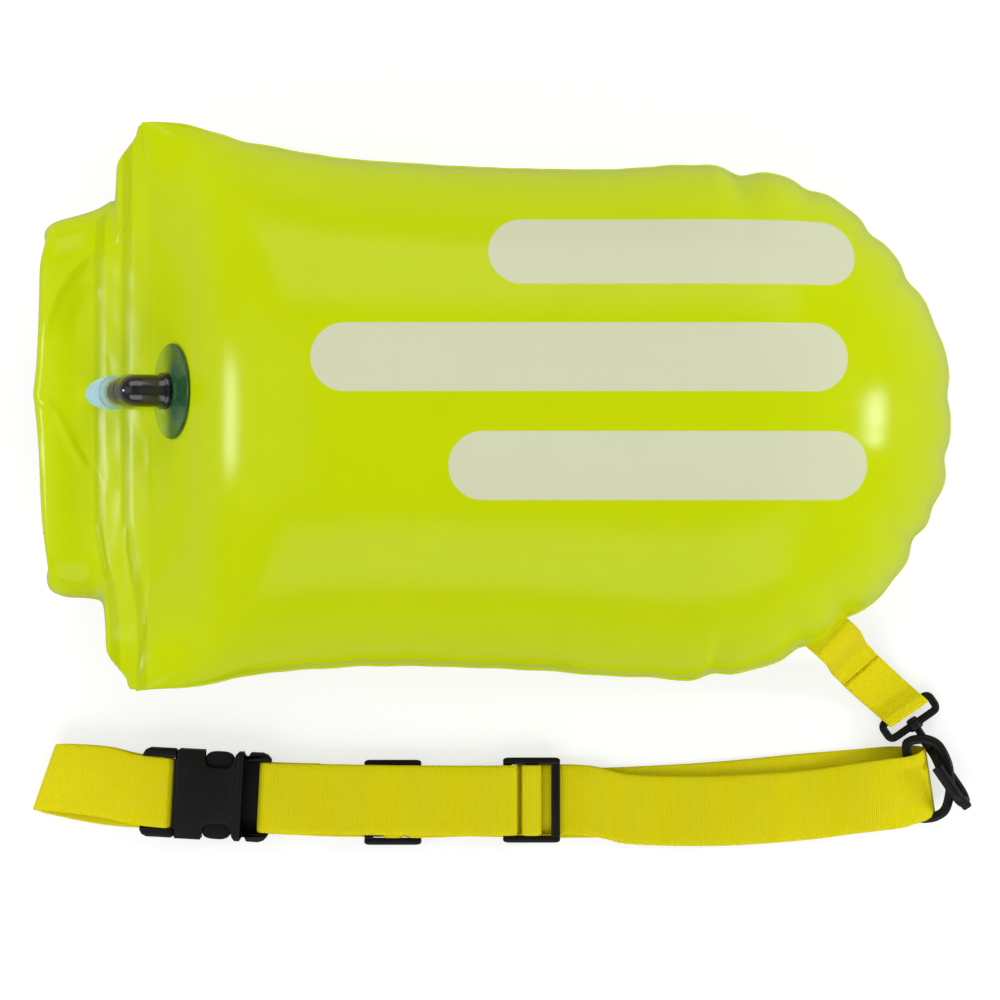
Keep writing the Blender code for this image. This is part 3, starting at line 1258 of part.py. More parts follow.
def hook(finish, gate_finish):
    place = Matrix.Translation((HOOK_X, HOOK_Y, HOOK_Z)) @ Matrix.Rotation(HOOK_TURN, 4, "Z")
    axis = empty("hook_axis", place)

    # Eye: a frame for the webbing, with a boss for the swivel in its near bar
    outline = rounded(EYE_LENGTH, EYE_WIDTH, EYE_SIDE_BAR, -EYE_BACK)
    square = EYE_THICKNESS / 2
    eye = new_object("hook_eye", slab("hook_eye", outline, -square, square), finish, axis)
    bevel(eye, SLIDER_BEVEL)
    near_end = EYE_LENGTH - EYE_BACK
    near_start = near_end - EYE_NEAR_BAR
    boss = [
        (near_start, 0),
        (near_start, BOSS_RADIUS - SLIDER_BEVEL),
        (near_start + SLIDER_BEVEL, BOSS_RADIUS),
        (near_end + BOSS_PROUD - SLIDER_BEVEL, BOSS_RADIUS),
        (near_end + BOSS_PROUD, BOSS_RADIUS - SLIDER_BEVEL),
        (near_end + BOSS_PROUD, 0),
    ]
    boolean(eye, turned("eye_boss", boss, SMALL_ROUND_STEPS, solid=True), "UNION")
    slot_length = EYE_LENGTH - EYE_FAR_BAR - EYE_NEAR_BAR
    slot = rounded(slot_length, EYE_WIDTH - 2 * EYE_SIDE_BAR, SLIDER_BEVEL, EYE_FAR_BAR - EYE_BACK, 2)
    boolean(eye, slab("eye_slot", slot, -BOSS_RADIUS, BOSS_RADIUS), "DIFFERENCE")
    hole = [
        (near_start - OVERRUN, 0),
        (near_start - OVERRUN, STUD_RADIUS + CLEARANCE),
        (near_end + BOSS_PROUD + OVERRUN, STUD_RADIUS + CLEARANCE),
        (near_end + BOSS_PROUD + OVERRUN, 0),
    ]
    boolean(eye, turned("eye_hole", hole, SMALL_ROUND_STEPS, solid=True), "DIFFERENCE")

    # Hook: a swivel stud whose head sits in the eye, then the neck and the bent bar
    head = near_start - CLEARANCE
    stud = [
        (head - STUD_HEAD, 0),
        (head - STUD_HEAD, STUD_HEAD_RADIUS - SLIDER_BEVEL),
        (head, STUD_HEAD_RADIUS),
        (head, STUD_RADIUS),
        (HOOK_SHANK_START + OVERRUN, STUD_RADIUS),
        (HOOK_SHANK_START + OVERRUN, 0),
    ]
    roll_axis = empty("hook_roll", Matrix.Rotation(HOOK_ROLL, 4, "X"), axis)
    turned_stud = turned("snap_hook", stud, SMALL_ROUND_STEPS, solid=True)
    snap = new_object("snap_hook", turned_stud, finish, roll_axis)
    line = hook_line()
    rings = []
    for n, (x, z) in enumerate(line):
        before, after = line[max(n - 1, 0)], line[min(n + 1, len(line) - 1)]
        way = Vector((after[0] - before[0], 0, after[1] - before[1])).normalized()
        out = Vector((way.z, 0, -way.x))
        rings.append(
            [
                Vector((x, 0, z)) + out * through + Vector((0, across, 0))
                for across, through in oval(HOOK_WIDTH, HOOK_BAR, 12)
            ]
        )
    boolean(snap, lofted("hook_bar", rings), "UNION")
    nib = block(
        "hook_nib",
        (HOOK_BEND_START + HOOK_BEND_RADIUS, -HOOK_TIP / 2, HOOK_BEND_RADIUS),
        (HOOK_BEND_START + HOOK_BEND_RADIUS + HOOK_BAR, HOOK_TIP / 2, HOOK_BEND_RADIUS + HOOK_TIP),
    )
    boolean(snap, nib, "UNION")

    # Gate: a leaf on a round root over the shank, leaning up to the end of the jaw
    root_z = HOOK_BAR / 2 + CLEARANCE + GATE_ROOT_RADIUS
    jaw_under = 2 * HOOK_BEND_RADIUS - HOOK_BAR / 2 - GATE_TIP_GAP
    lean = math.atan2(HOOK_JAW_END + GATE_THICKNESS - GATE_ROOT, jaw_under - root_z)
    length = (jaw_under - root_z - GATE_THICKNESS / 2) / math.cos(lean)
    outline = [
        (GATE_ROOT_RADIUS * math.cos(a), GATE_ROOT_RADIUS * math.sin(a))
        for a in (math.pi / 2 + math.pi * n / 6 for n in range(7))
    ]
    outline += [(length, -GATE_THICKNESS / 2), (length, GATE_THICKNESS / 2)]
    leaf = slab("hook_gate", outline, -GATE_WIDTH / 2, GATE_WIDTH / 2)
    gate = new_object("hook_gate", leaf, gate_finish, roll_axis)
    upright = Matrix.Rotation(math.pi / 2, 4, "X")
    gate.matrix_local = (
        Matrix.Translation((GATE_ROOT, 0, root_z)) @ Matrix.Rotation(lean - math.pi / 2, 4, "Y") @ upright
    )
    return axis


def tether(finish, anchor_finish, panels, liner_object):
    """Strap from the seam to the eye: level through the seam, down, then doubled round the eye's far bar."""
    root = Vector((TETHER_ROOT_X, TETHER_ROOT_Y, 0))
    place = Matrix.Translation((HOOK_X, HOOK_Y, 0)) @ Matrix.Rotation(HOOK_TURN, 4, "Z")
    bar = place @ Vector((EYE_FAR_BAR / 2 - EYE_BACK, 0, 0))
    way = bar - root
    heading = math.atan2(way.y, way.x)
    length = way.length
    axis = empty("tether_axis", Matrix.Translation(root) @ Matrix.Rotation(heading, 4, "Z"))
    gap = LEVEL_PITCH
    near = EYE_THICKNESS / 2 + CLEARANCE + WEBBING_THICKNESS / 2
    low = HOOK_Z - near
    doubled_x = TETHER_STEP_X
    before_step, after_step, lift_share = TETHER_STEP_SHARES
    route = [(-TETHER_INNER, MID_Z), (0.0, MID_Z)]
    route += [(TETHER_OUTER * out, MID_Z - TETHER_OUTER * down) for out, down in TETHER_FALL_SHARES]
    route += [
        (TETHER_OUTER * before_step[0], TETHER_STEP_Z + TETHER_OUTER * before_step[1]),
        (doubled_x, TETHER_STEP_Z + TETHER_OUTER / 2),
        (doubled_x + TETHER_OUTER * after_step[0], TETHER_STEP_Z / 2),
        (doubled_x + TETHER_OUTER * after_step[1], low + gap),
        (length - TETHER_OUTER * after_step[2], low),
        (length, low),
    ]
    line = [(p.x, p.y) for p in smooth_line([(x, z, 0) for x, z in route], 3)]
    corner_x = length + EYE_FAR_BAR / 2 + CLEARANCE / 2
    square = EYE_THICKNESS / 2
    wrap = arc(corner_x, HOOK_Z - square, near - square, -90, 0, 4)
    wrap += arc(corner_x, HOOK_Z + square, near - square, 0, 90, 4)
    # The turned-back layer follows the lower one at the pitch of two layers, and ends at the step
    lower = [p for p in line if p[0] > doubled_x]
    upper = []
    for n in range(len(lower) - 1, 0, -1):
        run_x = lower[n][0] - lower[n - 1][0]
        run_z = lower[n][1] - lower[n - 1][1]
        size = math.hypot(run_x, run_z)
        x = lower[n][0] - run_z / size * gap
        z = lower[n][1] + run_x / size * gap
        lift_run = TETHER_OUTER * lift_share
        share = min(max((lower[n][0] - length + lift_run) / lift_run, 0.0), 1.0)
        z += (2 * near - gap) * share * share * (3 - 2 * share)
        upper.append((x, z))
    places = []
    for x, z in line[:-1] + wrap + upper[1:]:
        share = min(max(x / length / TETHER_TURN_SHARE, 0.0), 1.0)
        places.append((x, 0.0, z, -math.tan((HOOK_TURN - heading) * share), 1.0))
    new_object("tether_strap", ribbon("tether_strap", places, TETHER_WIDTH), finish, axis)

    # Anchor plate inside the seam, and the notch that lets the strap through
    half = TETHER_WIDTH / 2
    plate_low = MID_Z + WEBBING_THICKNESS / 2 + CLEARANCE
    plate = block(
        "tether_anchor",
        (-TETHER_INNER, -half, plate_low),
        (-TETHER_INNER + ANCHOR_LENGTH, half, plate_low + ANCHOR_THICKNESS),
    )
    new_object("tether_anchor", plate, anchor_finish, axis)
    slot_half = half + 2 * CLEARANCE
    back = -TETHER_INNER - OVERRUN
    strap_room = WEBBING_THICKNESS / 2 + CLEARANCE
    for target, up in ((panels[0], strap_room), (panels[1], strap_room), (liner_object, LINER_THICKNESS)):
        low_corner = (back, -slot_half, MID_Z - up)
        slot = block(f"{target.name}_notch", low_corner, (TETHER_INNER, slot_half, MID_Z + up))
        boolean(target, slot, "DIFFERENCE", parent=axis)
    return axis


def closure(buckle_finish, tab_finish):
    """Small buckle behind the roll, with a webbing tab from each end of the roll."""
    ratio = CLOSURE_RATIO
    total = (FEMALE_LENGTH + FRAME_LENGTH + MALE_LENGTH) * ratio
    start = ROLL_CENTRE_Y - total / 2 + MALE_LENGTH * ratio
    place = Matrix.Translation((ROLL_X, start, ROLL_END_Z)) @ Matrix.Rotation(math.pi / 2, 4, "Z")
    names = ("closure_female", "closure_male", ("closure_arm_left", "closure_arm_right"))
    axis = side_release_buckle(names, place, ratio, buckle_finish)
    near = BAR_THICKNESS / 2 * ratio + CLEARANCE + WEBBING_THICKNESS / 2
    rise = WEBBING_THICKNESS / 2 + CLEARANCE / 2
    for name, bar_x, end_x in (
        (
            "closure_tab_female",
            (FEMALE_LENGTH + FEMALE_SLOT) * ratio + CLEARANCE,
            ROLL_CENTRE_Y + ROLL_END_REACH - start - CLEARANCE,
        ),
        (
            "closure_tab_male",
            -(MALE_WEB + MALE_SLOT) * ratio,
            ROLL_CENTRE_Y - ROLL_END_REACH - start + CLEARANCE,
        ),
    ):
        side = 1 if end_x > bar_x else -1
        edge = (FEMALE_LENGTH + FRAME_LENGTH) * ratio if side > 0 else -MALE_LENGTH * ratio
        out = [(end_x, rise)] + eased(end_x - side * near, rise, edge, near, 3)[1:] + [(edge, near)]
        turn = [(side * x, z) for x, z in arc(side * bar_x, 0, near, 90, 270, 6)]
        back = [(x, -z) for x, z in reversed(out)]
        places = [(x, 0.0, z, 0.0, 1.0) for x, z in out + turn + back]
        new_object(name, ribbon(name, places, TETHER_WIDTH - LOBE_MARGIN), tab_finish, axis)
    return axis


def build():
    clear_scene()
    skin = material("neon_coated_fabric", NEON, 0.34)
    liner_finish = material("liner_fabric", LINER_GREY, 0.6)
    webbing = material("yellow_webbing", WEBBING_YELLOW, 0.75)
    black = material("black_moulding", BLACK, 0.5)
    finishes = {
        "green": material("green_flange", VALVE_GREEN, 0.25),
        "gloss": material("gloss_black_elbow", GLOSS_BLACK, 0.12),
        "clear": material("clear_sleeve", CLEAR_SLEEVE, 0.1, alpha=0.35),
        "blue": material("pale_blue_mouthpiece", PALE_BLUE, 0.35),
        "seal": material("dark_seal", SEAL_GREY, 0.6),
        "steel": material("spring_steel", STEEL, 0.3, 1.0),
    }
    front = skin_panel("front_panel", 1, skin)
    back = skin_panel("back_panel", -1, skin)
    bag = liner(liner_finish)
    neck(skin)
    roll(skin, black)
    valve(front, finishes)
    closure(black, webbing)
    names = ("buckle_female", "buckle_male", ("buckle_arm_upper", "buckle_arm_lower"))
    place = Matrix.Translation((BUCKLE_X, BUCKLE_Y, BUCKLE_Z)) @ Matrix.Rotation(BUCKLE_TURN, 4, "Z")
    side_release_buckle(names, place, 1.0, black)
    slider_frame("slider_front", FRONT_SLIDER_X, along(FRONT_LINE, FRONT_SLIDER_X), FRONT_SLIDER_Z, black)
    slider_frame("slider_rear", REAR_SLIDER_X, along(FLOOR_LINE, REAR_SLIDER_X), REAR_SLIDER_Z, black)
    belt(webbing)
    ring(black)
    hook(black, black)
    tether(webbing, webbing, (front, back), bag)


build()
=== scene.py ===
"""Looks of the open water swim buoy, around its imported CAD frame. Metres, +Z up, in the frame's own axes."""

import math
from bisect import bisect_left

import bmesh
import bpy
from mathutils import Matrix, Vector, noise


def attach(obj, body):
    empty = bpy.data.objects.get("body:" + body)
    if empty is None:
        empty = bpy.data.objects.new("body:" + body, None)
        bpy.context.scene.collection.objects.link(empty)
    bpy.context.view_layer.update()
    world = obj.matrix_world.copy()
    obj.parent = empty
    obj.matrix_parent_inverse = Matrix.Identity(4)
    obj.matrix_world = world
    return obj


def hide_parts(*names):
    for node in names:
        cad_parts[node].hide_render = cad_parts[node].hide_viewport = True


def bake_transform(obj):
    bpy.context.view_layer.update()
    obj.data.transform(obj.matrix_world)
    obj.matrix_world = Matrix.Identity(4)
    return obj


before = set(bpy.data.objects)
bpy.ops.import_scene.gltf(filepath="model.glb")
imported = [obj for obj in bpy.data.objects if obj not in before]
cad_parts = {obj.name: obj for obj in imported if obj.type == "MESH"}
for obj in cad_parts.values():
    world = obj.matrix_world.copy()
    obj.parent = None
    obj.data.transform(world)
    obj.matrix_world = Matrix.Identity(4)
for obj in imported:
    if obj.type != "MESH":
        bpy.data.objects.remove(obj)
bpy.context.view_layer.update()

# Places and sizes that the solids have
CLEARANCE = 0.0003
MOUTH_X = -0.1987
MID_Z = 0.0975
FLOAT_LENGTH = 0.4073
HALF_WIDTH = 0.127
CROWN = 0.12
SPINE_START_X = MOUTH_X + FLOAT_LENGTH * 0.267
SPINE_END_X = MOUTH_X + FLOAT_LENGTH * 0.697
WEBBING = 0.0015
BELT_WIDTH = 0.038
TETHER_WIDTH = 0.025
LEVEL_PITCH = WEBBING + CLEARANCE
ROLL_X = -0.2477
ROLL_Z = 0.070
ROLL_CENTRE_Y = 0.0106
ROLL_END_Z = 0.024
WALL_TILT = math.radians(62.4)

# The seam in plan: shares of the float's length from the mouth, and of half its width
SEAM = (
    (0.0, 1.190), (0.0165, 1.192), (0.0627, 1.161), (0.135, 1.097), (0.228, 1.045), (0.338, 1.017),
    (0.473, 0.997), (0.586, 0.997), (0.676, 1.013), (0.74, 0.993), (0.805, 0.953), (0.87, 0.841),
    (0.911, 0.716), (0.944, 0.588), (0.971, 0.444), (0.99, 0.299), (0.999, 0.155), (1.0, -0.006),
    (0.998, -0.11), (0.993, -0.238), (0.976, -0.383), (0.953, -0.519), (0.928, -0.655), (0.892, -0.764),
    (0.851, -0.864), (0.817, -0.928), (0.773, -0.982), (0.726, -1.02), (0.666, -1.042), (0.563, -1.024),
    (0.473, -1.002), (0.317, -0.987), (0.225, -0.994), (0.125, -1.024), (0.078, -1.057), (0.0125, -1.089),
    (0.0, -1.096),
)
# Puckers along the seam: place in plan, depth and half width of each notch
PUCKERS = (
    (0.1020, 0.1250, 0.0030, 0.0075),
    (0.1345, 0.1150, 0.0026, 0.0065),
    (0.1665, 0.0925, 0.0022, 0.0060),
    (0.1840, 0.0690, 0.0030, 0.0070),
    (0.1975, 0.0420, 0.0010, 0.0060),
    (0.2040, 0.0120, 0.0024, 0.0070),
    (0.2065, -0.0200, 0.0018, 0.0060),
    (0.2000, -0.0450, 0.0010, 0.0060),
    (0.1885, -0.0610, 0.0032, 0.0065),
    (0.1790, -0.0830, 0.0010, 0.0060),
    (0.1560, -0.1060, 0.0030, 0.0090),
    (0.1330, -0.1190, 0.0026, 0.0075),
    (0.0876, -0.1295, 0.0022, 0.0065),
    (0.0560, -0.1300, 0.0008, 0.0090),
    (-0.1540, 0.1420, 0.0008, 0.0080),
    (-0.1700, 0.1470, 0.0006, 0.0060),
)
# Mouth wall: run from the mouth and height over the seam
WALL = (
    (0.0, 0.0), (0.0135, 0.0258), (0.0262, 0.0501), (0.0295, 0.0558), (0.0330, 0.0612), (0.0380, 0.0678),
    (0.0430, 0.0732), (0.0480, 0.0777), (0.0550, 0.0829), (0.0650, 0.0886), (0.0750, 0.0925), (0.0850, 0.0949),
    (0.0950, 0.0963), (0.1050, 0.0970), (0.1140, 0.0974), (0.1220, 0.0975),
)


# Mesh helpers


def smooth_line(points, steps, closed=False):
    """Catmull-Rom curve through points, with the given steps in each span."""
    points = [Vector(p) for p in points]
    if closed:
        ends = [points[-1], *points, points[0], points[1]]
    else:
        ends = [2 * points[0] - points[1], *points, 2 * points[-1] - points[-2]]
    out = []
    for a, b, c, d in zip(ends, ends[1:], ends[2:], ends[3:]):
        for step in range(steps):
            t = step / steps
            out.append((2 * b + (c - a) * t + (2 * a - 5 * b + 4 * c - d) * t**2 + (3 * b - a - 3 * c + d) * t**3) / 2)
    if not closed:
        out.append(points[-1])
    return out


def lengths_along(line):
    lengths = [0.0]
    for a, b in zip(line, line[1:]):
        lengths.append(lengths[-1] + (b - a).length)
    return lengths


def spaced(line, count, closed=False):
    """Points at even distances along a line, count spans of them, the last one included."""
    line = list(line) + ([line[0]] if closed else [])
    lengths = lengths_along(line)
    out, place = [], 0
    for n in range(count + 1):
        want = lengths[-1] * n / count
        while place < len(line) - 2 and lengths[place + 1] < want:
            place += 1
        span = max(lengths[place + 1] - lengths[place], 1e-12)
        out.append(line[place].lerp(line[place + 1], min((want - lengths[place]) / span, 1.0)))
    return out


def eased(x):
    x = min(max(x, 0.0), 1.0)
    return x * x * (3 - 2 * x)


def reader(table):
    """A function that reads a smooth table of (x, y) points."""
    line = smooth_line([(*p, 0) for p in table], 8)

    def read(x):
        if x <= line[0].x:
            return line[0].y
        low, high = 0, len(line) - 1
        while high - low > 1:
            middle = (low + high) // 2
            if line[middle].x <= x:
                low = middle
            else:
                high = middle
        a, b = line[low], line[high]
        return a.y + (b.y - a.y) * min((x - a.x) / max(b.x - a.x, 1e-9), 1.0)

    return read


def new_piece(name, bm, finish, body, nodes=(), angle=None):
    """Make a bmesh an object that rides on a body and stands in for CAD nodes. Edges over the angle are sharp."""
    mesh = bpy.data.meshes.new(name)
    bm.to_mesh(mesh)
    bm.free()
    mesh.shade_smooth()
    if angle:
        mesh.set_sharp_from_angle(angle=math.radians(angle))
    mesh.materials.append(finish)
    piece = bpy.data.objects.new(name, mesh)
    bpy.context.scene.collection.objects.link(piece)
    if body:
        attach(piece, body)
    if nodes:
        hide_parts(*nodes)
    return piece


def welded(bm, distance):
    bmesh.ops.remove_doubles(bm, verts=bm.verts, dist=distance)
    bmesh.ops.recalc_face_normals(bm, faces=bm.faces)
    return bm


def shaped_grid(columns, rows, place, cloth=None, bm=None):
    """A grid whose vertices are moved to place(u, v), with u and v from 0 to 1, and cloth(u, v) as its UV map."""
    bm = bm or bmesh.new()
    layer = bm.loops.layers.uv.verify()
    made = bmesh.ops.create_grid(bm, x_segments=columns, y_segments=rows, size=0.5)["verts"]
    shares = {vert: (round(vert.co.x + 0.5, 6), round(vert.co.y + 0.5, 6)) for vert in made}
    for vert in made:
        vert.co = place(*shares[vert])
    faces = {face for vert in made for face in vert.link_faces}
    for face in faces:
        for loop in face.loops:
            u, v = shares[loop.vert]
            loop[layer].uv = cloth(u, v) if cloth else (u, v)
    return bm


def close(bm):
    bmesh.ops.remove_doubles(bm, verts=bm.verts, dist=1e-6)
    edges = [edge for edge in bm.edges if edge.is_boundary]
    if edges:
        bmesh.ops.holes_fill(bm, edges=edges, sides=0)
    bmesh.ops.recalc_face_normals(bm, faces=bm.faces)
    return bm


def turned(profile, steps, solid=False, matrix=None):
    """Turn a profile of (along, radius) round the X axis. A solid profile starts and ends on the axis."""
    bm = bmesh.new()
    verts = [bm.verts.new((along, 0, radius)) for along, radius in profile]
    pairs = list(zip(verts, verts[1:]))
    if not solid:
        pairs.append((verts[-1], verts[0]))
    edges = [bm.edges.new(pair) for pair in pairs]
    bmesh.ops.spin(
        bm, geom=verts + edges, axis=(1, 0, 0), cent=(0, 0, 0), angle=math.tau, steps=steps, use_merge=True
    )
    close(bm)
    if matrix:
        bmesh.ops.transform(bm, matrix=matrix, verts=bm.verts)
    return bm


def thickened(piece, thickness):
    step = piece.modifiers.new("Thickness", "SOLIDIFY")
    step.thickness = thickness
    step.offset = 0.0
    step.use_even_offset = False
    return piece


def add_turned(bm, profile, steps, solid=False):
    """Add a turned shape to a bmesh."""
    mesh = bpy.data.meshes.new("turned")
    made = turned(profile, steps, solid)
    made.to_mesh(mesh)
    made.free()
    bm.from_mesh(mesh)
    bpy.data.meshes.remove(mesh)


# Shader helpers


class Value:
    """A socket: Python's operators on it add Math nodes."""

    def __init__(self, finish, socket):
        self.finish = finish
        self.socket = socket

    def maths(self, operation, *others):
        sockets = dict(enumerate((self, *others)))
        return self.finish.node("ShaderNodeMath", {"operation": operation}, sockets)

    def __add__(self, other):
        return self.maths("ADD", other)

    def __sub__(self, other):
        return self.maths("SUBTRACT", other)

    def __rsub__(self, other):
        return self.finish.node("ShaderNodeMath", {"operation": "SUBTRACT"}, {0: other, 1: self})

    def __mul__(self, other):
        return self.maths("MULTIPLY", other)

    __radd__ = __add__
    __rmul__ = __mul__

    def sine(self):
        return self.maths("SINE")

    def size(self):
        return self.maths("ABSOLUTE")

    def at_least(self, other):
        return self.maths("MAXIMUM", other)

    def at_most(self, other):
        return self.maths("MINIMUM", other)

    def power(self, other):
        return self.maths("POWER", other)

    def step(self, start, end):
        """A soft step from 0 at start to 1 at end."""
        sockets = {"Value": self, "From Min": start, "From Max": end}
        return self.finish.node("ShaderNodeMapRange", {"interpolation_type": "SMOOTHSTEP"}, sockets)


class Finish:
    """A material whose nodes are written as expressions."""

    def __init__(self, name, **fixed):
        self.material = bpy.data.materials.new(name)
        self.material.use_nodes = True
        self.tree = self.material.node_tree
        self.shader = self.tree.nodes["Principled BSDF"]
        for socket, value in fixed.items():
            self.shader.inputs[socket.replace("_", " ")].default_value = value

    def node(self, kind, settings=None, sockets=None, output=0):
        made = self.tree.nodes.new(kind)
        for key, value in (settings or {}).items():
            setattr(made, key, value)
        for key, value in (sockets or {}).items():
            self.feed(made.inputs[key], value)
        return Value(self, made.outputs[output])

    def feed(self, socket, value):
        if isinstance(value, Value):
            self.tree.links.new(value.socket, socket)
        else:
            socket.default_value = value

    def set(self, **sockets):
        for socket, value in sockets.items():
            self.feed(self.shader.inputs[socket.replace("_", " ")], value)

    def place(self, source="Object"):
        """The three coordinates of the object's own space, or of its UV map, in metres."""
        coordinate = self.node("ShaderNodeTexCoord", output=source)
        parts = self.tree.nodes.new("ShaderNodeSeparateXYZ")
        self.feed(parts.inputs[0], coordinate)
        return coordinate, [Value(self, parts.outputs[n]) for n in range(3)]

    def noise(self, coordinate, scale, detail=2.0, roughness=0.5):
        sockets = {"Vector": coordinate, "Scale": scale, "Detail": detail, "Roughness": roughness}
        return self.node("ShaderNodeTexNoise", {}, sockets)

    def mix(self, factor, a, b):
        return self.node("ShaderNodeMix", {"data_type": "RGBA"}, {0: factor, 6: a, 7: b}, 2)

    def bump(self, height, distance, strength, normal=None):
        sockets = {"Height": height, "Distance": distance, "Strength": strength}
        if normal:
            sockets["Normal"] = normal
        return self.node("ShaderNodeBump", {}, sockets)


def shade(colour, factor):
    return (*(min(c * factor, 1.0) for c in colour[:3]), 1.0)


# Middle (x, y) and half length of the bars printed on the float's top, and their half height
PRINT_BARS = ((0.0640, 0.0790, 0.0900), (0.0180, 0.0270, 0.1290), (0.0560, -0.0250, 0.1010))
PRINT_HALF = 0.0165
# The two weld bands pressed across the neck: x of each, half width, and how far they drift at their lower end
WELD_BANDS = (-0.2114, -0.2268)
WELD_HALF = 0.0025
WELD_DRIFT = 0.0085

WEAVE_PITCH, YARN_PITCH = 0.00062, 0.0011

NEON = (0.560, 0.680, 0.000, 1.0)
WEBBING_YELLOW = (0.745, 0.660, 0.000, 1.0)
PRINT_GREY = (0.645, 0.670, 0.455, 1.0)
BLACK = (0.0040, 0.0040, 0.0042, 1.0)


def coated_fabric():
    """Neon coated cloth: a fine weave under a semi-gloss film, with three pale bars printed on the float's top, and
    painted shade that darkens the two weld grooves across the neck.
    """
    finish = Finish("neon_coated_fabric", IOR=1.45, Specular_IOR_Level=0.14)
    place, (x, y, z) = finish.place()
    weave = (x * (math.tau / WEAVE_PITCH)).sine() * (y * (math.tau / WEAVE_PITCH)).sine() * 0.5 + 0.5
    broad = finish.noise(place, 9.0)
    grain = finish.noise(place, 900.0, 3.0)
    film = finish.noise(place, 60.0, 3.0)
    tone = broad * 0.6 + film * 0.4
    cloth = finish.mix(tone, shade(NEON, 0.93), shade(NEON, 1.05))

    bars = None
    for centre_x, centre_y, half_length in PRINT_BARS:
        along = ((x - centre_x).size() - (half_length - PRINT_HALF)).at_least(0.0)
        across = (y - centre_y).size()
        reach = (along * along + across * across).power(0.5)
        bar = reach.step(PRINT_HALF + 0.0002, PRINT_HALF - 0.0002)
        bars = bar if bars is None else bars.at_least(bar)
    bars = bars * z.step(0.120, 0.122)
    ink = finish.mix(tone, shade(PRINT_GREY, 0.97), shade(PRINT_GREY, 1.03))
    drift = y.step(-0.049, -0.109) * WELD_DRIFT
    first, second = ((x - band - drift).size() for band in WELD_BANDS)
    weld = first.at_most(second).step(0.0036, 0.0018) * z.step(0.070, 0.074)
    # painted shade: the neon is darkened along the two weld grooves, standing in for the shade inside them
    cloth = finish.mix(weld * 0.7, cloth, shade(NEON, 0.80))
    colour = finish.mix(bars, cloth, ink)
    height = weave * 0.8 + grain * 0.5 + bars * 0.6
    wrinkle = finish.bump(broad, 0.0012, 0.25)
    finish.set(
        Base_Color=colour,
        Roughness=0.17 + grain * 0.04 - bars * 0.02 + film * 0.02,
        Normal=finish.bump(height, 0.000016, 0.9, wrinkle),
    )
    return finish.material


def webbing_cloth(name, rib_pitch, colour, coarse=0.0):
    """Woven polyester webbing: UV along the strap and across it, both in metres."""
    finish = Finish(name, IOR=1.45, Specular_IOR_Level=0.2)
    place, (along, across, _) = finish.place("UV")
    ribs = (along * (math.pi / rib_pitch)).sine()
    yarns = (across * (math.pi / YARN_PITCH)).sine()
    rib, yarn, flip = ribs.size(), yarns.size(), (ribs * yarns).step(-0.3, 0.3)
    fuzz = finish.noise(place, 2400.0)
    broad = finish.noise(place, 26.0)
    height = rib * 0.65 + yarn * (0.16 + coarse) + flip * (0.12 + coarse) + fuzz * 0.22
    # painted shade: the colour darkens in the grooves between the ribs and lightens on their tops; the broad and fine
    # noise add a random tone
    tone = (rib * 0.45 + broad * 0.35 + fuzz * 0.25).step(0.15, 0.95)
    finish.set(
        Base_Color=finish.mix(tone, shade(colour, 0.88), shade(colour, 1.08)),
        Roughness=0.66 + fuzz * 0.16,
        Normal=finish.bump(height, 0.00022, 0.85),
    )
    return finish.material


def moulded_plastic(name, colour, roughness, texture, coat=0.0):
    """Moulded plastic with an eroded mould texture, faint flow marks and paler rubbed places."""
    finish = Finish(name, IOR=1.48, Coat_Roughness=0.15, Specular_IOR_Level=0.18)
    place, _ = finish.place()
    speck = finish.noise(place, 2600.0)
    flow = finish.noise(place, 70.0, 3.0)
    rub = finish.noise(place, 220.0, 4.0, 0.65).step(0.58, 0.80)
    finish.set(
        Base_Color=finish.mix(rub * 0.55 + flow * 0.25, colour, shade([c + 0.012 for c in colour[:3]], 1.25)),
        Roughness=roughness + speck * 0.10 + flow * 0.06 - rub * 0.05,
        Normal=finish.bump(speck * 0.7 + flow * 0.5, texture, 0.8),
        Coat_Weight=coat,
    )
    return finish.material


def valve_green():
    """Dark translucent vinyl of the welded flange, its left part painted a lighter yellow-green for the light bounced
    into it from the yellow cloth beneath.
    """
    finish = Finish("green_flange", IOR=1.45, Coat_Roughness=0.06, Specular_IOR_Level=0.3)
    place, (x, _, _) = finish.place()
    cloud = finish.noise(place, 90.0)
    speck = finish.noise(place, 700.0, 4.0, 0.7).step(0.62, 0.75)
    green = finish.mix(cloud, (0.012, 0.072, 0.022, 1.0), (0.026, 0.105, 0.034, 1.0))
    # painted light: the left part of the disc is a lighter yellow-green, standing in for light bounced from the yellow
    # cloth
    colour = finish.mix((x + cloud * 0.004).step(-0.1895, -0.1815), (0.330, 0.480, 0.004, 1.0), green)
    finish.set(
        Base_Color=finish.mix(speck * 0.4, colour, (0.22, 0.34, 0.20, 1.0)),
        Roughness=0.16 + speck * 0.25,
        Coat_Weight=0.08,
        Normal=finish.bump(cloud + speck * 0.2, 0.0004, 0.4),
    )
    return finish.material


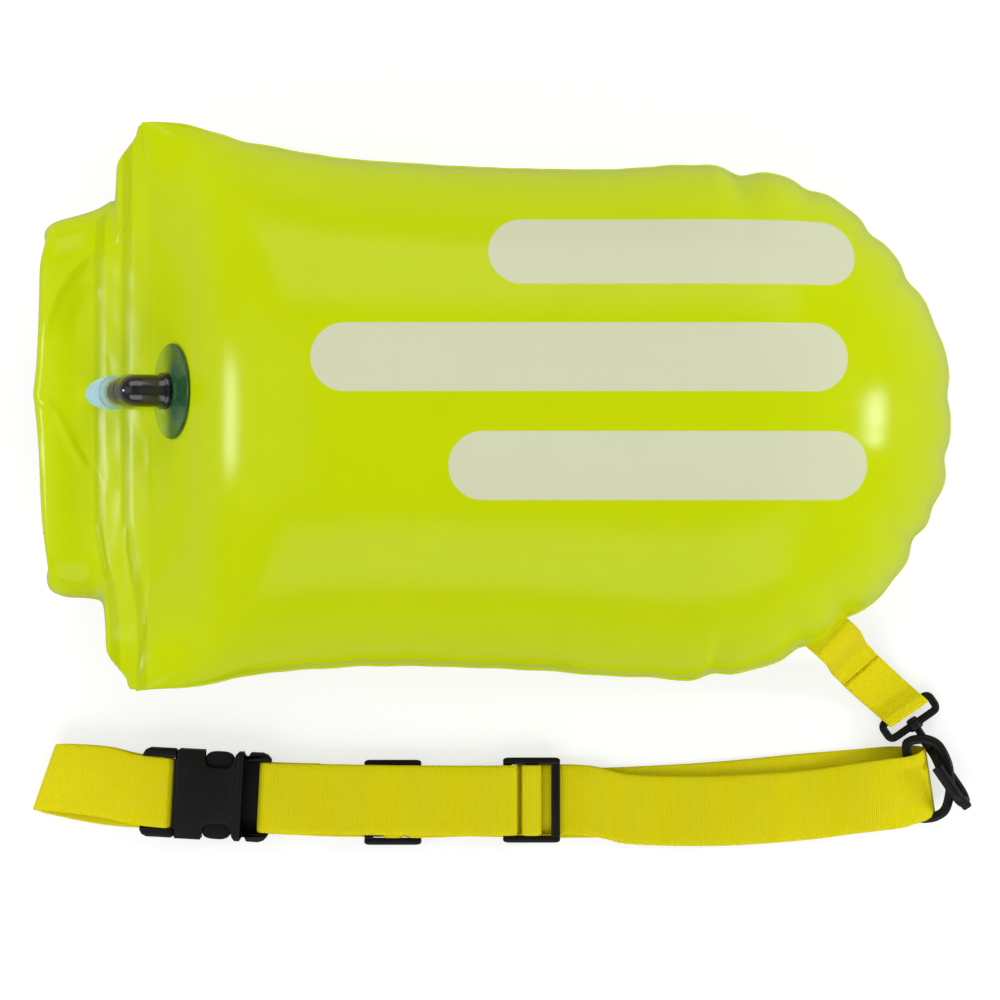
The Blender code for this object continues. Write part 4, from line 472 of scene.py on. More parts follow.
def clear_plastic():
    """Clear tube: see-through in the middle, with its edges and a faint grey body showing. Its yellowish tint and the
    opacity that rises where the surface turns from view are painted reflection and shade of the yellow cloth around it
    and the dark outlines of its bent walls.
    """
    # painted reflection and shade: the yellowish base colour, shown more at the edges, stands in for the yellow
    # surroundings seen through the tube and its dark outlines
    finish = Finish("clear_sleeve", IOR=1.45, Base_Color=(0.34, 0.36, 0.10, 1.0), Coat_Roughness=0.03)
    facing = finish.node("ShaderNodeLayerWeight", {}, {"Blend": 0.35}, 1)
    place, _ = finish.place()
    haze = finish.noise(place, 260.0, 3.0)
    finish.set(
        Alpha=0.04 + facing.power(2.6) * 0.50 + haze * 0.04,
        Roughness=0.06 + haze * 0.06,
        Coat_Weight=0.6,
    )
    return finish.material


def pale_silicone():
    finish = Finish("pale_blue_mouthpiece", IOR=1.43, Subsurface_Weight=0.25, Subsurface_Scale=0.002)
    finish.shader.inputs["Subsurface Radius"].default_value = (0.6, 0.8, 1.0)
    place, _ = finish.place()
    cloud = finish.noise(place, 160.0)
    speck = finish.noise(place, 2200.0)
    finish.set(
        Base_Color=finish.mix(cloud, (0.36, 0.60, 0.66, 1.0), (0.46, 0.70, 0.75, 1.0)),
        Roughness=0.34 + speck * 0.12,
        Normal=finish.bump(speck, 0.00003, 0.6),
    )
    return finish.material


def plain_finish(name, low, high, roughness, scale, depth, **fixed):
    """A quiet finish for hidden parts: two tones and a fine grain."""
    finish = Finish(name, **fixed)
    place, _ = finish.place()
    cloud = finish.noise(place, scale, 3.0)
    finish.set(
        Base_Color=finish.mix(cloud, low, high),
        Roughness=roughness + cloud * 0.12,
        Normal=finish.bump(cloud, depth, 0.7),
    )
    return finish.material


FABRIC = coated_fabric()
STRAP = webbing_cloth("yellow_webbing", 0.00105, WEBBING_YELLOW)
# painted shade: the tether's yellow is the belt's yellow scaled down a little to match how the tether is lit
TETHER = webbing_cloth("tether_webbing", 0.00125, shade(WEBBING_YELLOW, 0.98), 0.12)
MOULDING = moulded_plastic("black_moulding", BLACK, 0.34, 0.00006)
GLOSS = moulded_plastic("gloss_black_elbow", (0.0065, 0.0050, 0.0050, 1.0), 0.09, 0.000012, 0.8)
GREEN = valve_green()
CLEAR = clear_plastic()
SILICONE = pale_silicone()
SEAL = plain_finish("dark_seal", (0.012, 0.010, 0.012, 1), (0.030, 0.026, 0.030, 1), 0.40, 500.0, 0.00005)
SMOKE = plain_finish("smoke_guide", (0.060, 0.055, 0.045, 1), (0.110, 0.100, 0.085, 1), 0.30, 300.0, 0.00005)
STEEL = plain_finish("spring_steel", (0.50, 0.50, 0.50, 1), (0.62, 0.62, 0.61, 1), 0.22, 900.0, 0.00002, Metallic=1.0)
LINER = plain_finish("liner_fabric", (0.48, 0.49, 0.47, 1), (0.58, 0.59, 0.57, 1), 0.55, 400.0, 0.0001)


# Camera, light and floor


CAMERA_PLACE, CAMERA_LENS = (-0.02038, -0.04147, 1.597), 105.8


def camera():
    data = bpy.data.cameras.new("camera")
    data.sensor_width = 36.0
    data.lens = CAMERA_LENS
    data.clip_end = 20.0
    viewer = bpy.data.objects.new("camera", data)
    viewer.location = CAMERA_PLACE
    bpy.context.scene.collection.objects.link(viewer)
    bpy.context.scene.camera = viewer


# Name, place, what it is turned to, width, height and power of each area lamp
LAMPS = (
    ("softbox_back", (0.0, 1.50, 1.05), (0, 0, 0.05), 2.4, 1.2, 23.5),
    ("softbox_front", (0.0, -1.50, 1.05), (0, 0, 0.05), 2.4, 1.2, 22.2),
    ("softbox_left", (-1.30, 0.0, 1.25), (0, 0, 0.05), 1.3, 1.6, 5.0),
    ("softbox_right", (1.30, 0.0, 1.25), (0, 0, 0.05), 1.3, 1.6, 1.5),
    ("spot_left", (-1.35, 0.02, 0.29), (-0.16, 0, 0.15), 0.12, 0.20, 3.5),
    ("spot_right", (1.35, 0.0, 0.46), (0.16, 0, 0.13), 0.15, 0.25, 6.6),
)


def lamp(name, place, target, width, height, energy):
    data = bpy.data.lights.new(name, "AREA")
    data.shape = "RECTANGLE"
    data.size = width
    data.size_y = height
    data.energy = energy
    light = bpy.data.objects.new(name, data)
    light.location = place
    light.rotation_euler = (Vector(target) - Vector(place)).to_track_quat("-Z", "Y").to_euler()
    bpy.context.scene.collection.objects.link(light)


def only_nodes(owner, *kinds):
    """Empty the node tree of a world or a material, and put the given nodes in."""
    owner.use_nodes = True
    tree = owner.node_tree
    tree.nodes.clear()
    return tree.links, [tree.nodes.new("ShaderNode" + kind) for kind in kinds]


def world_light():
    """A white background whose light on the object is weaker than it looks."""
    world = bpy.context.scene.world or bpy.data.worlds.new("world")
    bpy.context.scene.world = world
    links, (out, back, path, level) = only_nodes(world, "OutputWorld", "Background", "LightPath", "MapRange")
    level.inputs["To Min"].default_value = 0.25
    level.inputs["To Max"].default_value = 1.0
    back.inputs["Color"].default_value = (1, 1, 1, 1)
    links.new(path.outputs["Is Camera Ray"], level.inputs["Value"])
    links.new(level.outputs[0], back.inputs["Strength"])
    links.new(back.outputs[0], out.inputs["Surface"])


def floor():
    """A pale floor that still takes the object's shadow."""
    bm = bmesh.new()
    bmesh.ops.create_grid(bm, x_segments=1, y_segments=1, size=4.0)
    bmesh.ops.translate(bm, verts=bm.verts, vec=(0, 0, -CLEARANCE))
    made = bpy.data.materials.new("pale_floor")
    kinds = ("OutputMaterial", "BsdfDiffuse", "Emission", "LightPath", "Math", "Math", "AddShader")
    links, (out, diffuse, glow, path, seen, level, both) = only_nodes(made, *kinds)
    diffuse.inputs["Color"].default_value = (0.42, 0.42, 0.42, 1)
    seen.operation, level.operation = "MAXIMUM", "MULTIPLY"
    level.inputs[1].default_value = 0.66
    links.new(path.outputs["Is Camera Ray"], seen.inputs[0])
    links.new(path.outputs["Is Transmission Ray"], seen.inputs[1])
    links.new(seen.outputs[0], level.inputs[0])
    links.new(level.outputs[0], glow.inputs["Strength"])
    links.new(diffuse.outputs[0], both.inputs[0])
    links.new(glow.outputs[0], both.inputs[1])
    links.new(both.outputs[0], out.inputs["Surface"])
    mesh = bpy.data.meshes.new("floor")
    bm.to_mesh(mesh)
    bm.free()
    mesh.materials.append(made)
    ground = bpy.data.objects.new("floor", mesh)
    bpy.context.scene.collection.objects.link(ground)


def studio():
    camera()
    world_light()
    floor()
    bpy.context.scene.view_settings.view_transform = "Standard"
    for row in LAMPS:
        lamp(*row)


# Float


wall_rise = reader(WALL)
SEAM_EDGE = smooth_line([(MOUTH_X + FLOAT_LENGTH * x, HALF_WIDTH * y, 0) for x, y in SEAM], 12)


def seam_line(count):
    """Points round the float: its welded edge, then straight back across the mouth."""
    edge = [Vector((max(p.x, MOUTH_X), p.y, 0)) for p in SEAM_EDGE]
    return spaced(edge, count, closed=True)


def spine_point(x):
    """The point of the float's spine that is nearest to a place along it."""
    return Vector((min(max(x, SPINE_START_X), SPINE_END_X), 0, 0))


def side_reader(points):
    """Half the float's width at x, read from one side of its seam."""
    line = sorted(((p.x, abs(p.y)) for p in points), key=lambda p: p[0])
    xs = [p[0] for p in line]

    def read(x):
        place = min(max(bisect_left(xs, x), 1), len(xs) - 1)
        (x0, y0), (x1, y1) = line[place - 1], line[place]
        return y0 + (y1 - y0) * min(max((x - x0) / max(x1 - x0, 1e-9), 0.0), 1.0)

    return read


upper_width = side_reader([p for p in SEAM_EDGE if p.y > 0])
lower_width = side_reader([p for p in SEAM_EDGE if p.y < 0])


def puckered(point, reach):
    """How far a point near the seam is drawn in towards the spine."""
    if reach < 0.66:
        return 0.0
    depth = 0.0
    for x, y, deep, half in PUCKERS:
        fade = eased((reach - 0.80 + deep * 24) / (0.20 + deep * 10))
        away = math.hypot(point.x - x, point.y - y) / (half * (1.0 + 0.9 * (1 - fade)))
        depth += deep * math.exp(-away * away) * fade
        depth -= deep * 0.16 * math.exp(-((away - 1.9) ** 2)) * fade
    fine = noise.noise(Vector((point.x, point.y, 0)) * 70) * 0.0005
    return depth + fine * eased((reach - 0.85) / 0.15)


def rounded_share(share):
    """Height share of the float's round section, at a share of the way from its spine to its seam."""
    share = max((share - CROWN) / (1 - CROWN), 0.0)
    return max(1 - min(share, 1.0) ** 2.2, 0.0) ** 0.62


def corner_reach(y):
    """How far the corners of the mouth stand out past its straight edge."""
    if y > 0:
        return 0.0046 * min(y / 0.150, 1.0) ** 4
    return 0.0080 * min(-y / 0.139, 1.0) ** 4


def skin_place(seam, reach, side):
    """A point of the float's skin. reach runs from 1 at the seam to 0 on the spine."""
    spine = spine_point(seam.x)
    out = seam - spine
    drawn = puckered(seam, reach) if seam.x > MOUTH_X + 0.002 else 0.0
    place = spine + out * (reach * (1 - drawn / out.length))
    if place.x < SPINE_END_X:
        width = upper_width if place.y > 0 else lower_width
        across = abs(place.y) / width(place.x)
        on_edge = eased((seam.x - MOUTH_X) / 0.004)
        across += (max(reach, across) - across) * on_edge * eased((reach - 0.9) / 0.1)
    else:
        across = reach
    height = rounded_share(across) * wall_rise(place.x - MOUTH_X)
    place.x -= corner_reach(place.y) * eased((MOUTH_X + 0.030 - place.x) / 0.030)
    return Vector((place.x, place.y, MID_Z + side * height))


def reach_of(v):
    """Reach for a place v from 0 at the crown to 1 at the seam, with close rows near the seam."""
    return 1 - (1 - v) ** 1.9


def float_skin():
    columns = 640
    seam = seam_line(columns)

    def place(u, v):
        point = seam[round(u * columns) % columns]
        side = 1 if v >= 0.5 else -1
        return skin_place(point, reach_of(1 - abs(2 * v - 1)), side)

    bm = welded(shaped_grid(columns, 76, place), 0.00005)
    skin = new_piece("float_skin", bm, FABRIC, "float", ("front_panel", "back_panel"))


def seam_weld():
    """The narrow welded edge that runs round the float from one corner of its mouth to the other."""
    columns = 560
    line = spaced([p for p in SEAM_EDGE if p.x > MOUTH_X], columns)
    count = len(line) - 1
    section = [(-0.0012, 0.0008), (0.0006, 0.0007), (0.0010, 0.0), (0.0006, -0.0007), (-0.0012, -0.0008)]

    def place(u, v):
        n = round(u * count)
        point = line[n]
        before, after = line[max(n - 1, 0)], line[min(n + 1, count)]
        run = (after - before).normalized()
        out = Vector((run.y, -run.x, 0))
        if out.dot(point - spine_point(point.x)) < 0:
            out = -out
        edge = skin_place(point, 1.0, 1)
        reach, rise = section[round(v * 5) % 5]
        near = eased(min(n, count - n) / 12)
        return edge + out * reach * near + Vector((0, 0, rise * near))

    new_piece("seam_weld", close(shaped_grid(count, 5, place)), FABRIC, "float")


def liner():
    """The flat dry bag inside the float."""
    columns = 200
    seam = seam_line(columns)

    def place(u, v):
        point = seam[round(u * columns) % columns]
        side = 1 if v >= 0.5 else -1
        reach = 1 - abs(2 * v - 1)
        spine = spine_point(point.x)
        flat = spine + (point - spine) * reach * 0.965
        rise = 0.0006 * (1 - reach**4) + 0.00015 * noise.noise(flat * 30)
        return Vector((flat.x, flat.y, MID_Z + side * max(rise, 0.00005)))

    bm = welded(shaped_grid(columns, 24, place), 0.00002)
    new_piece("dry_bag_cloth", bm, LINER, "float", ["dry_bag_liner"])


# Mouth of the dry bag: its neck, and the roll that it is wound into

# Middle of the front cloth from the weld over the roll and into its turns (x, z)
ROLL_PROFILE = (
    (-0.1966, 0.0992), (-0.1984, 0.0984), (-0.2012, 0.0968), (-0.2050, 0.0946), (-0.2111, 0.0908), (-0.2150, 0.0884),
    (-0.2200, 0.0853), (-0.2250, 0.0823), (-0.2290, 0.0800), (-0.2330, 0.0786), (-0.2390, 0.0778),
    (-0.2450, 0.0776), (-0.2510, 0.0773), (-0.2560, 0.0762), (-0.2595, 0.0741), (-0.2614, 0.0716),
    (-0.2618, 0.0690), (-0.2608, 0.0664), (-0.2578, 0.0643), (-0.2530, 0.0632), (-0.2460, 0.0629),
    (-0.2400, 0.0631), (-0.2360, 0.0641), (-0.2342, 0.0664), (-0.2338, 0.0695), (-0.2350, 0.0725),
    (-0.2385, 0.0743), (-0.2440, 0.0750), (-0.2510, 0.0746), (-0.2560, 0.0733), (-0.2586, 0.0708),
    (-0.2583, 0.0681), (-0.2555, 0.0663), (-0.2500, 0.0656), (-0.2430, 0.0656), (-0.2385, 0.0666),
    (-0.2368, 0.0690), (-0.2385, 0.0712), (-0.2440, 0.0722), (-0.2500, 0.0720),
)
# The same for the back cloth, from the weld to the roll
BACK_PROFILE = (
    (-0.1978, 0.0957), (-0.2050, 0.0905), (-0.2130, 0.0850), (-0.2220, 0.0790), (-0.2290, 0.0742), (-0.2335, 0.0705),
)
# Half length of the rolled cloth; middle and half length of the mouth where the neck leaves it
ROLL_HALF = 0.1428
MOUTH_CENTRE_Y, MOUTH_HALF = 0.0060, 0.14445
NECK_END_X = -0.2340
# Half length of the roll between its bends, and the radii of its bends
FOLD_HALF, SHOULDER, HEEL = 0.0857, 0.020, 0.014
WELD_DEPTH = 0.00025
# How far the roll's upper and lower end are drawn out until they meet the tabs of the closure
DRAWN_UPPER, DRAWN_LOWER = 0.0055, 0.0213
# Left edge of the roll in plan, as (y, how far its fold reaches past x = -0.2560)
EDGE = (
    (-0.090, -0.0030), (-0.082, -0.0010), (-0.076, -0.0022), (-0.062, 0.0002), (-0.045, 0.0020), (-0.022, 0.0030),
    (-0.004, 0.0042), (0.0135, 0.0064), (0.016, 0.0062), (0.034, 0.0042), (0.060, 0.0032), (0.080, 0.0026),
    (0.092, 0.0000), (0.098, 0.0012), (0.103, -0.0010),
)
edge_reach = reader(EDGE)
# Creases of the mouth in plan: points (x, y), height and half width; a valley has a negative height
CREASES = (
    (
        (
            (-0.2060, 0.1440), (-0.2095, 0.1350), (-0.2112, 0.1180), (-0.2112, 0.1040), (-0.2150, 0.0955),
            (-0.2235, 0.0880),
        ),
        0.0011, 0.0013,
    ),
    (
        (
            (-0.2235, 0.0880), (-0.2330, 0.0850), (-0.2410, 0.0780), (-0.2490, 0.0660), (-0.2545, 0.0520),
            (-0.2590, 0.0300),
        ),
        0.0013, 0.0030,
    ),
    (((-0.2300, 0.0700), (-0.2380, 0.0560), (-0.2420, 0.0400)), -0.0008, 0.0055),
    (((-0.2600, 0.0135), (-0.2480, 0.0125), (-0.2350, 0.0110)), -0.0006, 0.0016),
    (((-0.2600, 0.0120), (-0.2500, 0.0040), (-0.2420, -0.0120), (-0.2330, -0.0270)), 0.0011, 0.0020),
    (((-0.2420, -0.0120), (-0.2330, -0.0200), (-0.2250, -0.0330)), -0.0004, 0.0022),
    (((-0.2560, 0.0700), (-0.2590, 0.0450), (-0.2612, 0.0220)), 0.0005, 0.0009),
    (((-0.2612, 0.0040), (-0.2585, -0.0150), (-0.2580, -0.0330)), 0.0005, 0.0009),
    (((-0.2275, -0.0520), (-0.2245, -0.0700), (-0.2215, -0.0830)), 0.0009, 0.0008),
    (((-0.2120, -0.0540), (-0.2115, -0.0680), (-0.2085, -0.0800)), 0.0008, 0.0008),
    (((-0.2560, -0.0780), (-0.2440, -0.0840), (-0.2330, -0.0870), (-0.2200, -0.0880)), 0.0009, 0.0018),
    (((-0.2230, 0.0350), (-0.2222, 0.0100)), 0.0003, 0.0008),
)


def bent(s, fold):
    """Middle line of the roll across the bag: (y, z, tilt) at the distance s from its middle."""
    size, side = abs(s), math.copysign(1, s)
    flat = fold - SHOULDER
    turn = SHOULDER * math.pi / 2
    fall = (ROLL_Z - SHOULDER) - (ROLL_END_Z + HEEL)
    if size <= flat:
        y, z, angle = size, ROLL_Z, 0.0
    elif size <= flat + turn:
        angle = (size - flat) / SHOULDER
        y, z = flat + SHOULDER * math.sin(angle), ROLL_Z - SHOULDER + SHOULDER * math.cos(angle)
    elif size <= flat + turn + fall:
        angle = math.pi / 2
        y, z = fold, ROLL_Z - SHOULDER - (size - flat - turn)
    else:
        part = min((size - flat - turn - fall) / HEEL, math.pi / 2)
        rest = size - flat - turn - fall - part * HEEL
        angle = math.pi / 2 + part
        y = fold - HEEL + HEEL * math.cos(part) - rest
        z = ROLL_END_Z + HEEL - HEEL * math.sin(part)
    return side * y, z, side * angle


def near_line(point, line):
    """Distance in plan from a point to a polyline, and the share of the way along it."""
    best, share, count = 1.0, 0.0, len(line) - 1
    for n, ((ax, ay), (bx, by)) in enumerate(zip(line, line[1:])):
        dx, dy = bx - ax, by - ay
        t = min(max(((point[0] - ax) * dx + (point[1] - ay) * dy) / (dx * dx + dy * dy), 0.0), 1.0)
        away = math.hypot(point[0] - ax - dx * t, point[1] - ay - dy * t)
        if away < best:
            best, share = away, (n + t) / count
    return best, share


def creased(x, y):
    """Height of the creases at a place in plan, each one fading towards its ends."""
    height = 0.0
    for line, lift, half in CREASES:
        if min(p[0] for p in line) - 4 * half < x < max(p[0] for p in line) + 4 * half:
            away, share = near_line((x, y), line)
            height += lift * math.exp(-((away / half) ** 2)) * eased(share * 5) * eased((1 - share) * 5)
    return height


def mouth_place(x, z, s, layer):
    """A point of the bag's mouth cloth: flat behind the weld, bent down with the roll's ends further on."""
    upper = s > 0
    size = abs(s) / ROLL_HALF
    corner = eased((size - 0.86) / 0.14)
    if upper:
        start, end = -0.2160 + 0.0128 * corner, -0.2252 - 0.0010 * corner
        fold = FOLD_HALF + 0.0015 + 0.0065 * eased((x + 0.262) / 0.040)
    else:
        start, end = -0.2222 + 0.0130 * corner, -0.2312
        fold = FOLD_HALF + 0.0108 - 0.0015 * eased((-0.245 - x) / 0.012)
    weight = eased((start - x) / (start - end))
    flat_y = MOUTH_CENTRE_Y + s * (MOUTH_HALF / ROLL_HALF)
    # fine ripples of the gathered cloth, stronger towards its corners
    ripple = noise.noise(Vector((x * 55, s * 26, layer * 3.1))) * 0.0010 * eased((size - 0.25) / 0.6)
    ripple += noise.noise(Vector((x * 120, s * 60, layer * 7.7))) * 0.0003
    on_neck = eased((x - NECK_END_X) / 0.006) * eased((MOUTH_X - x) / 0.004)
    flat_z = z + ripple * on_neck - 0.0035 * eased((size - 0.82) / 0.18) * eased((-0.2035 - x) / 0.01)
    # the first rows are tucked under the float's skin at the corners
    tuck = eased((x + 0.2045) / 0.007) * eased((size - 0.88) / 0.12)
    flat_y -= math.copysign(0.0030, s) * tuck
    flat_z -= 0.0020 * tuck
    drawn = (DRAWN_UPPER if upper else DRAWN_LOWER) * eased((abs(s) - 0.080) / 0.060)
    y, path_z, angle = bent(s + math.copysign(drawn, s), fold)
    fall = min(max((ROLL_Z - path_z) / (ROLL_Z - ROLL_END_Z), 0.0), 1.0)
    through = (z - ROLL_Z) * (1 - 0.38 * fall)
    if x < ROLL_X:
        x += (-0.0058 + edge_reach(ROLL_CENTRE_Y + y)) * -((ROLL_X - x) / 0.0146) ** 2 * (1 - fall)
    bent_y = ROLL_CENTRE_Y + y + through * math.sin(angle)
    bent_z = path_z + through * math.cos(angle) + ripple * 0.3 * (1 - on_neck)
    place = Vector((x, flat_y + (bent_y - flat_y) * weight, flat_z + (bent_z - flat_z) * weight))
    if not layer and z > ROLL_Z:
        place.z += creased(place.x, place.y)
    return place


def groove(x, s):
    """Depth of the two weld bands pressed across the neck."""
    drift = 0.0
    if s < -0.055:
        drift = WELD_DRIFT * eased((-s - 0.055) / 0.06)
    depth = 0.0
    for band in WELD_BANDS:
        away = abs(x - band - drift)
        depth += WELD_DEPTH * (1 - eased((away - WELD_HALF * 0.5) / WELD_HALF))
    return depth


def bag_mouth():
    columns, back_columns = 190, 36
    line = spaced(smooth_line([(x, 0, z) for x, z in ROLL_PROFILE], 6), columns)
    length = lengths_along(line)[-1]

    def place(u, v):
        point = line[round(u * columns)]
        s = (v * 2 - 1) * ROLL_HALF
        made = mouth_place(point.x, point.z, s, 0)
        if u < 0.25:
            made.z -= groove(point.x, s)
        return made

    cloth = shaped_grid(columns, 200, place, lambda u, v: (u * length, v * 2 * ROLL_HALF))
    front = new_piece("bag_mouth_cloth", cloth, FABRIC, "float", ("bag_neck", "roll_top"))
    thickened(front, 0.0011)

    back_line = spaced(smooth_line([(x, 0, z) for x, z in BACK_PROFILE], 6), back_columns)

    def back_place(u, v):
        point = back_line[round(u * back_columns)]
        return mouth_place(point.x, point.z, (v * 2 - 1) * ROLL_HALF, 1)

    back = shaped_grid(back_columns, 110, back_place)
    under = new_piece("bag_neck_back", back, FABRIC, "float", ["bag_neck"])
    thickened(under, 0.0010)
    length = lengths_along(back_line)[-1]


# Oral valve


OUTWARD = Vector((-math.sin(WALL_TILT), 0, math.cos(WALL_TILT)))
UPWARD = Vector((math.cos(WALL_TILT), 0, math.sin(WALL_TILT)))
VALVE_TURN = Matrix((OUTWARD, UPWARD.cross(OUTWARD), UPWARD)).transposed().to_4x4()
VALVE = Matrix.Translation((-0.18424, 0.0130, 0.12531)) @ VALVE_TURN
ELBOW_REACH = 0.020
MOUTHPIECE = VALVE @ Matrix.Translation((ELBOW_REACH, 0, 0)) @ Matrix.Rotation(math.pi / 2, 4, "Y")


def flange():
    radius = 0.024
    profile = [(-0.0120, 0.0062), (-0.0120, 0.0085), (0.0003, 0.0085), (0.0001, radius - 0.0012)]
    for n in range(7):
        angle = -math.pi / 2 + math.pi * n / 6
        profile.append((0.0009 + 0.0006 * math.sin(angle), radius - 0.0008 + 0.0008 * math.cos(angle)))
    profile += [(0.0013, radius - 0.0035), (0.0016, 0.0165), (0.0021, 0.0120), (0.0028, 0.0108)]
    profile += [(0.0034, 0.0103), (0.0035, 0.0098), (0.0035, 0.0062)]
    disc = turned(profile, 96, matrix=VALVE)
    new_piece("flange_disc", disc, GREEN, "float", ["valve_base"], 40)


def elbow_skin():
    """Foot, collar and first leg along the valve's axis, a domed corner, then the second leg."""
    steps = 56
    radius, fillet, leg, spigot = 0.0082, 0.0008, 0.0085, 0.0072
    turns = [math.tau * k / steps for k in range(steps)]
    rings = []
    for x, r in (
        (-0.0080, 0.0059), (0.0038, 0.0059), (0.0038, 0.0090), (0.0041, 0.0092), (0.0064, 0.0092),
        (0.0067, 0.0090), (0.0068, 0.0084), (0.0072, 0.0082),
    ):
        rings.append([(x, r * math.sin(a), r * math.cos(a)) for a in turns])
    inner = Vector((ELBOW_REACH - radius - fillet, 0, -radius - fillet))
    reach, corner = fillet + 2 * radius, radius + fillet
    for n in range(25):
        angle = math.pi / 2 * n / 24
        c, s = math.cos(angle), math.sin(angle)
        edge = reach / max(c, s)
        room = radius**2 - corner**2 * (c - s) ** 2
        if reach * min(c, s) / max(c, s) > corner and room > 0:
            edge = corner * (c + s) + math.sqrt(room)
        way = Vector((s, 0, c))
        middle, half = inner + way * (edge + fillet) / 2, (edge - fillet) / 2
        rings.append([middle + way * half * math.cos(a) + Vector((0, radius * math.sin(a), 0)) for a in turns])
    for depth, r in (
        (leg - 0.0006, radius), (leg - 0.0002, radius - 0.0002), (leg, radius - 0.0006), (leg, spigot),
        (leg + 0.0018, spigot),
    ):
        rings.append([(ELBOW_REACH + r * math.cos(a), r * math.sin(a), -depth) for a in turns])
    count = len(rings) - 1

    def place(u, v):
        return Vector(rings[round(u * count)][round(v * steps) % steps])

    bm = close(shaped_grid(count, steps, place))
    bmesh.ops.transform(bm, matrix=VALVE, verts=bm.verts)
    new_piece("elbow_moulding", bm, GLOSS, "elbow", ["valve_elbow"], 40)


def mouthpiece():
    start, radius, inner, end = 0.0088, 0.0088, 0.0075, 0.0280
    sleeve = [
        (start, inner), (start, radius - 0.0003), (start + 0.0003, radius), (end - 0.0003, radius),
        (end, radius - 0.0003), (end, inner),
    ]
    tube = turned(sleeve, 64, matrix=MOUTHPIECE)
    new_piece("clear_tube", tube, CLEAR, "elbow", ["mouthpiece_sleeve"], 40)

    guide = [(0.0108, 0.0), (0.0108, 0.0070), (0.0120, 0.0070), (0.0150, 0.0036), (0.0166, 0.0030)]
    guide += [(0.0171, 0.0026), (0.0171, 0.0)]
    cone = turned(guide, 40, solid=True, matrix=MOUTHPIECE)
    new_piece("stem_guide", cone, SMOKE, "elbow", ["valve_seal"], 40)

    stem = [
        (0.0203, 0.0), (0.0203, 0.0022), (0.0212, 0.0024), (0.0218, 0.0050), (0.0224, 0.0060), (0.0238, 0.0061),
        (0.0244, 0.0054), (0.0246, 0.0026), (0.0440, 0.0018), (0.0475, 0.0016), (0.0475, 0.0),
    ]
    disc = turned(stem, 48, solid=True, matrix=MOUTHPIECE)
    new_piece("stem_disc", disc, SEAL, "mouthpiece", ["valve_plunger"], 40)

    rim, tip_end, tip_radius, bore = 0.0312, 0.0636, 0.00485, 0.0021
    profile = [(end - 0.0030, 0.0030), (end - 0.0030, 0.0072), (rim, 0.0072), (rim, radius - 0.0002)]
    profile += [(rim + 0.0003, radius), (rim + 0.0021, radius), (rim + 0.0025, radius - 0.0002)]
    profile.append((rim + 0.0027, radius - 0.0007))
    ribs = 15
    first, last = rim + 0.0029, tip_end - tip_radius
    for n in range(ribs):
        for share, lift in ((0.1, 0.0), (0.35, 0.00032), (0.6, 0.00032), (0.85, 0.0)):
            part = (n + share) / ribs
            bulge = 0.0007 * math.sin(math.pi * part)
            taper = 0.0080 + (tip_radius - 0.0080) * part**1.3
            profile.append((first + (last - first) * part, taper + lift + bulge))
    for n in range(7):
        angle = math.pi / 3 * n / 6
        profile.append((last + tip_radius * math.sin(angle), tip_radius * math.cos(angle)))
    profile += [(tip_end - 0.0005, bore), (0.0485, bore), (0.0485, 0.0030)]
    tip = turned(profile, 72, matrix=MOUTHPIECE)
    new_piece("mouth_cap", tip, SILICONE, "mouthpiece", ["mouthpiece_tip"], 50)


# Webbing

# Place of the belt's buckle, the lengths of its parts, and its two bars from the mouth of the female part
BUCKLE_X, BUCKLE_Y, BUCKLE_TURN = -0.1951, -0.1997, math.radians(-3.0)
FEMALE_LENGTH, FRAME_LENGTH, MALE_LENGTH = 0.0355, 0.015, 0.019
FEMALE_BAR, MALE_BAR = 0.0479, -0.0056
# The closure behind the roll is the same buckle, scaled to the narrower webbing
CLOSURE_RATIO = TETHER_WIDTH / BELT_WIDTH
CLOSURE_TOTAL = (FEMALE_LENGTH + FRAME_LENGTH + MALE_LENGTH) * CLOSURE_RATIO
CLOSURE_Y = ROLL_CENTRE_Y - CLOSURE_TOTAL / 2 + MALE_LENGTH * CLOSURE_RATIO
CLOSURE = Matrix.Translation((ROLL_X, CLOSURE_Y, ROLL_END_Z)) @ Matrix.Rotation(math.pi / 2, 4, "Z")
SLIDER_LENGTH, SLIDER_THICKNESS, SLIDER_OUTER_BAR, SLIDER_CENTRE_BAR = 0.031, 0.0035, 0.005, 0.0055
FRONT_SLIDER_X, REAR_SLIDER_X = -0.0033, -0.0784
LOOP_FOLD_X, RING_FOLD_X, RING_LEG_X, TAIL_END_X = -0.2617, 0.2061, 0.2021, 0.1356
RING_FOLD_RADIUS = 0.0058
SPLIT_X = -0.150
# Middle lines in plan of the belt's front layer and of its layers on the floor
FRONT_LINE = (
    (-0.268, -0.1905), (-0.235, -0.1935), (-0.207, -0.1990), (-0.150, -0.2020), (-0.107, -0.2032), (-0.060, -0.2038),
    (-0.030, -0.2040), (0.020, -0.2042), (0.052, -0.2092), (0.100, -0.2098), (0.145, -0.2068), (0.170, -0.2030),
    (0.188, -0.2004), (0.1975, -0.1990), (0.206, -0.1967), (0.213, -0.1948),
)
FLOOR_LINE = (
    (-0.268, -0.1920), (-0.235, -0.1985), (-0.200, -0.2010), (-0.110, -0.2050), (-0.050, -0.2050), (0.024, -0.2060),
    (0.086, -0.2034), (0.141, -0.1985), (0.188, -0.1945), (0.199, -0.1936), (0.206, -0.1925), (0.213, -0.1915),
)
front_y, floor_y = reader(FRONT_LINE), reader(FLOOR_LINE)


def level(number):
    """Height of the middle of a webbing layer, counted from the floor."""
    return WEBBING / 2 + number * LEVEL_PITCH


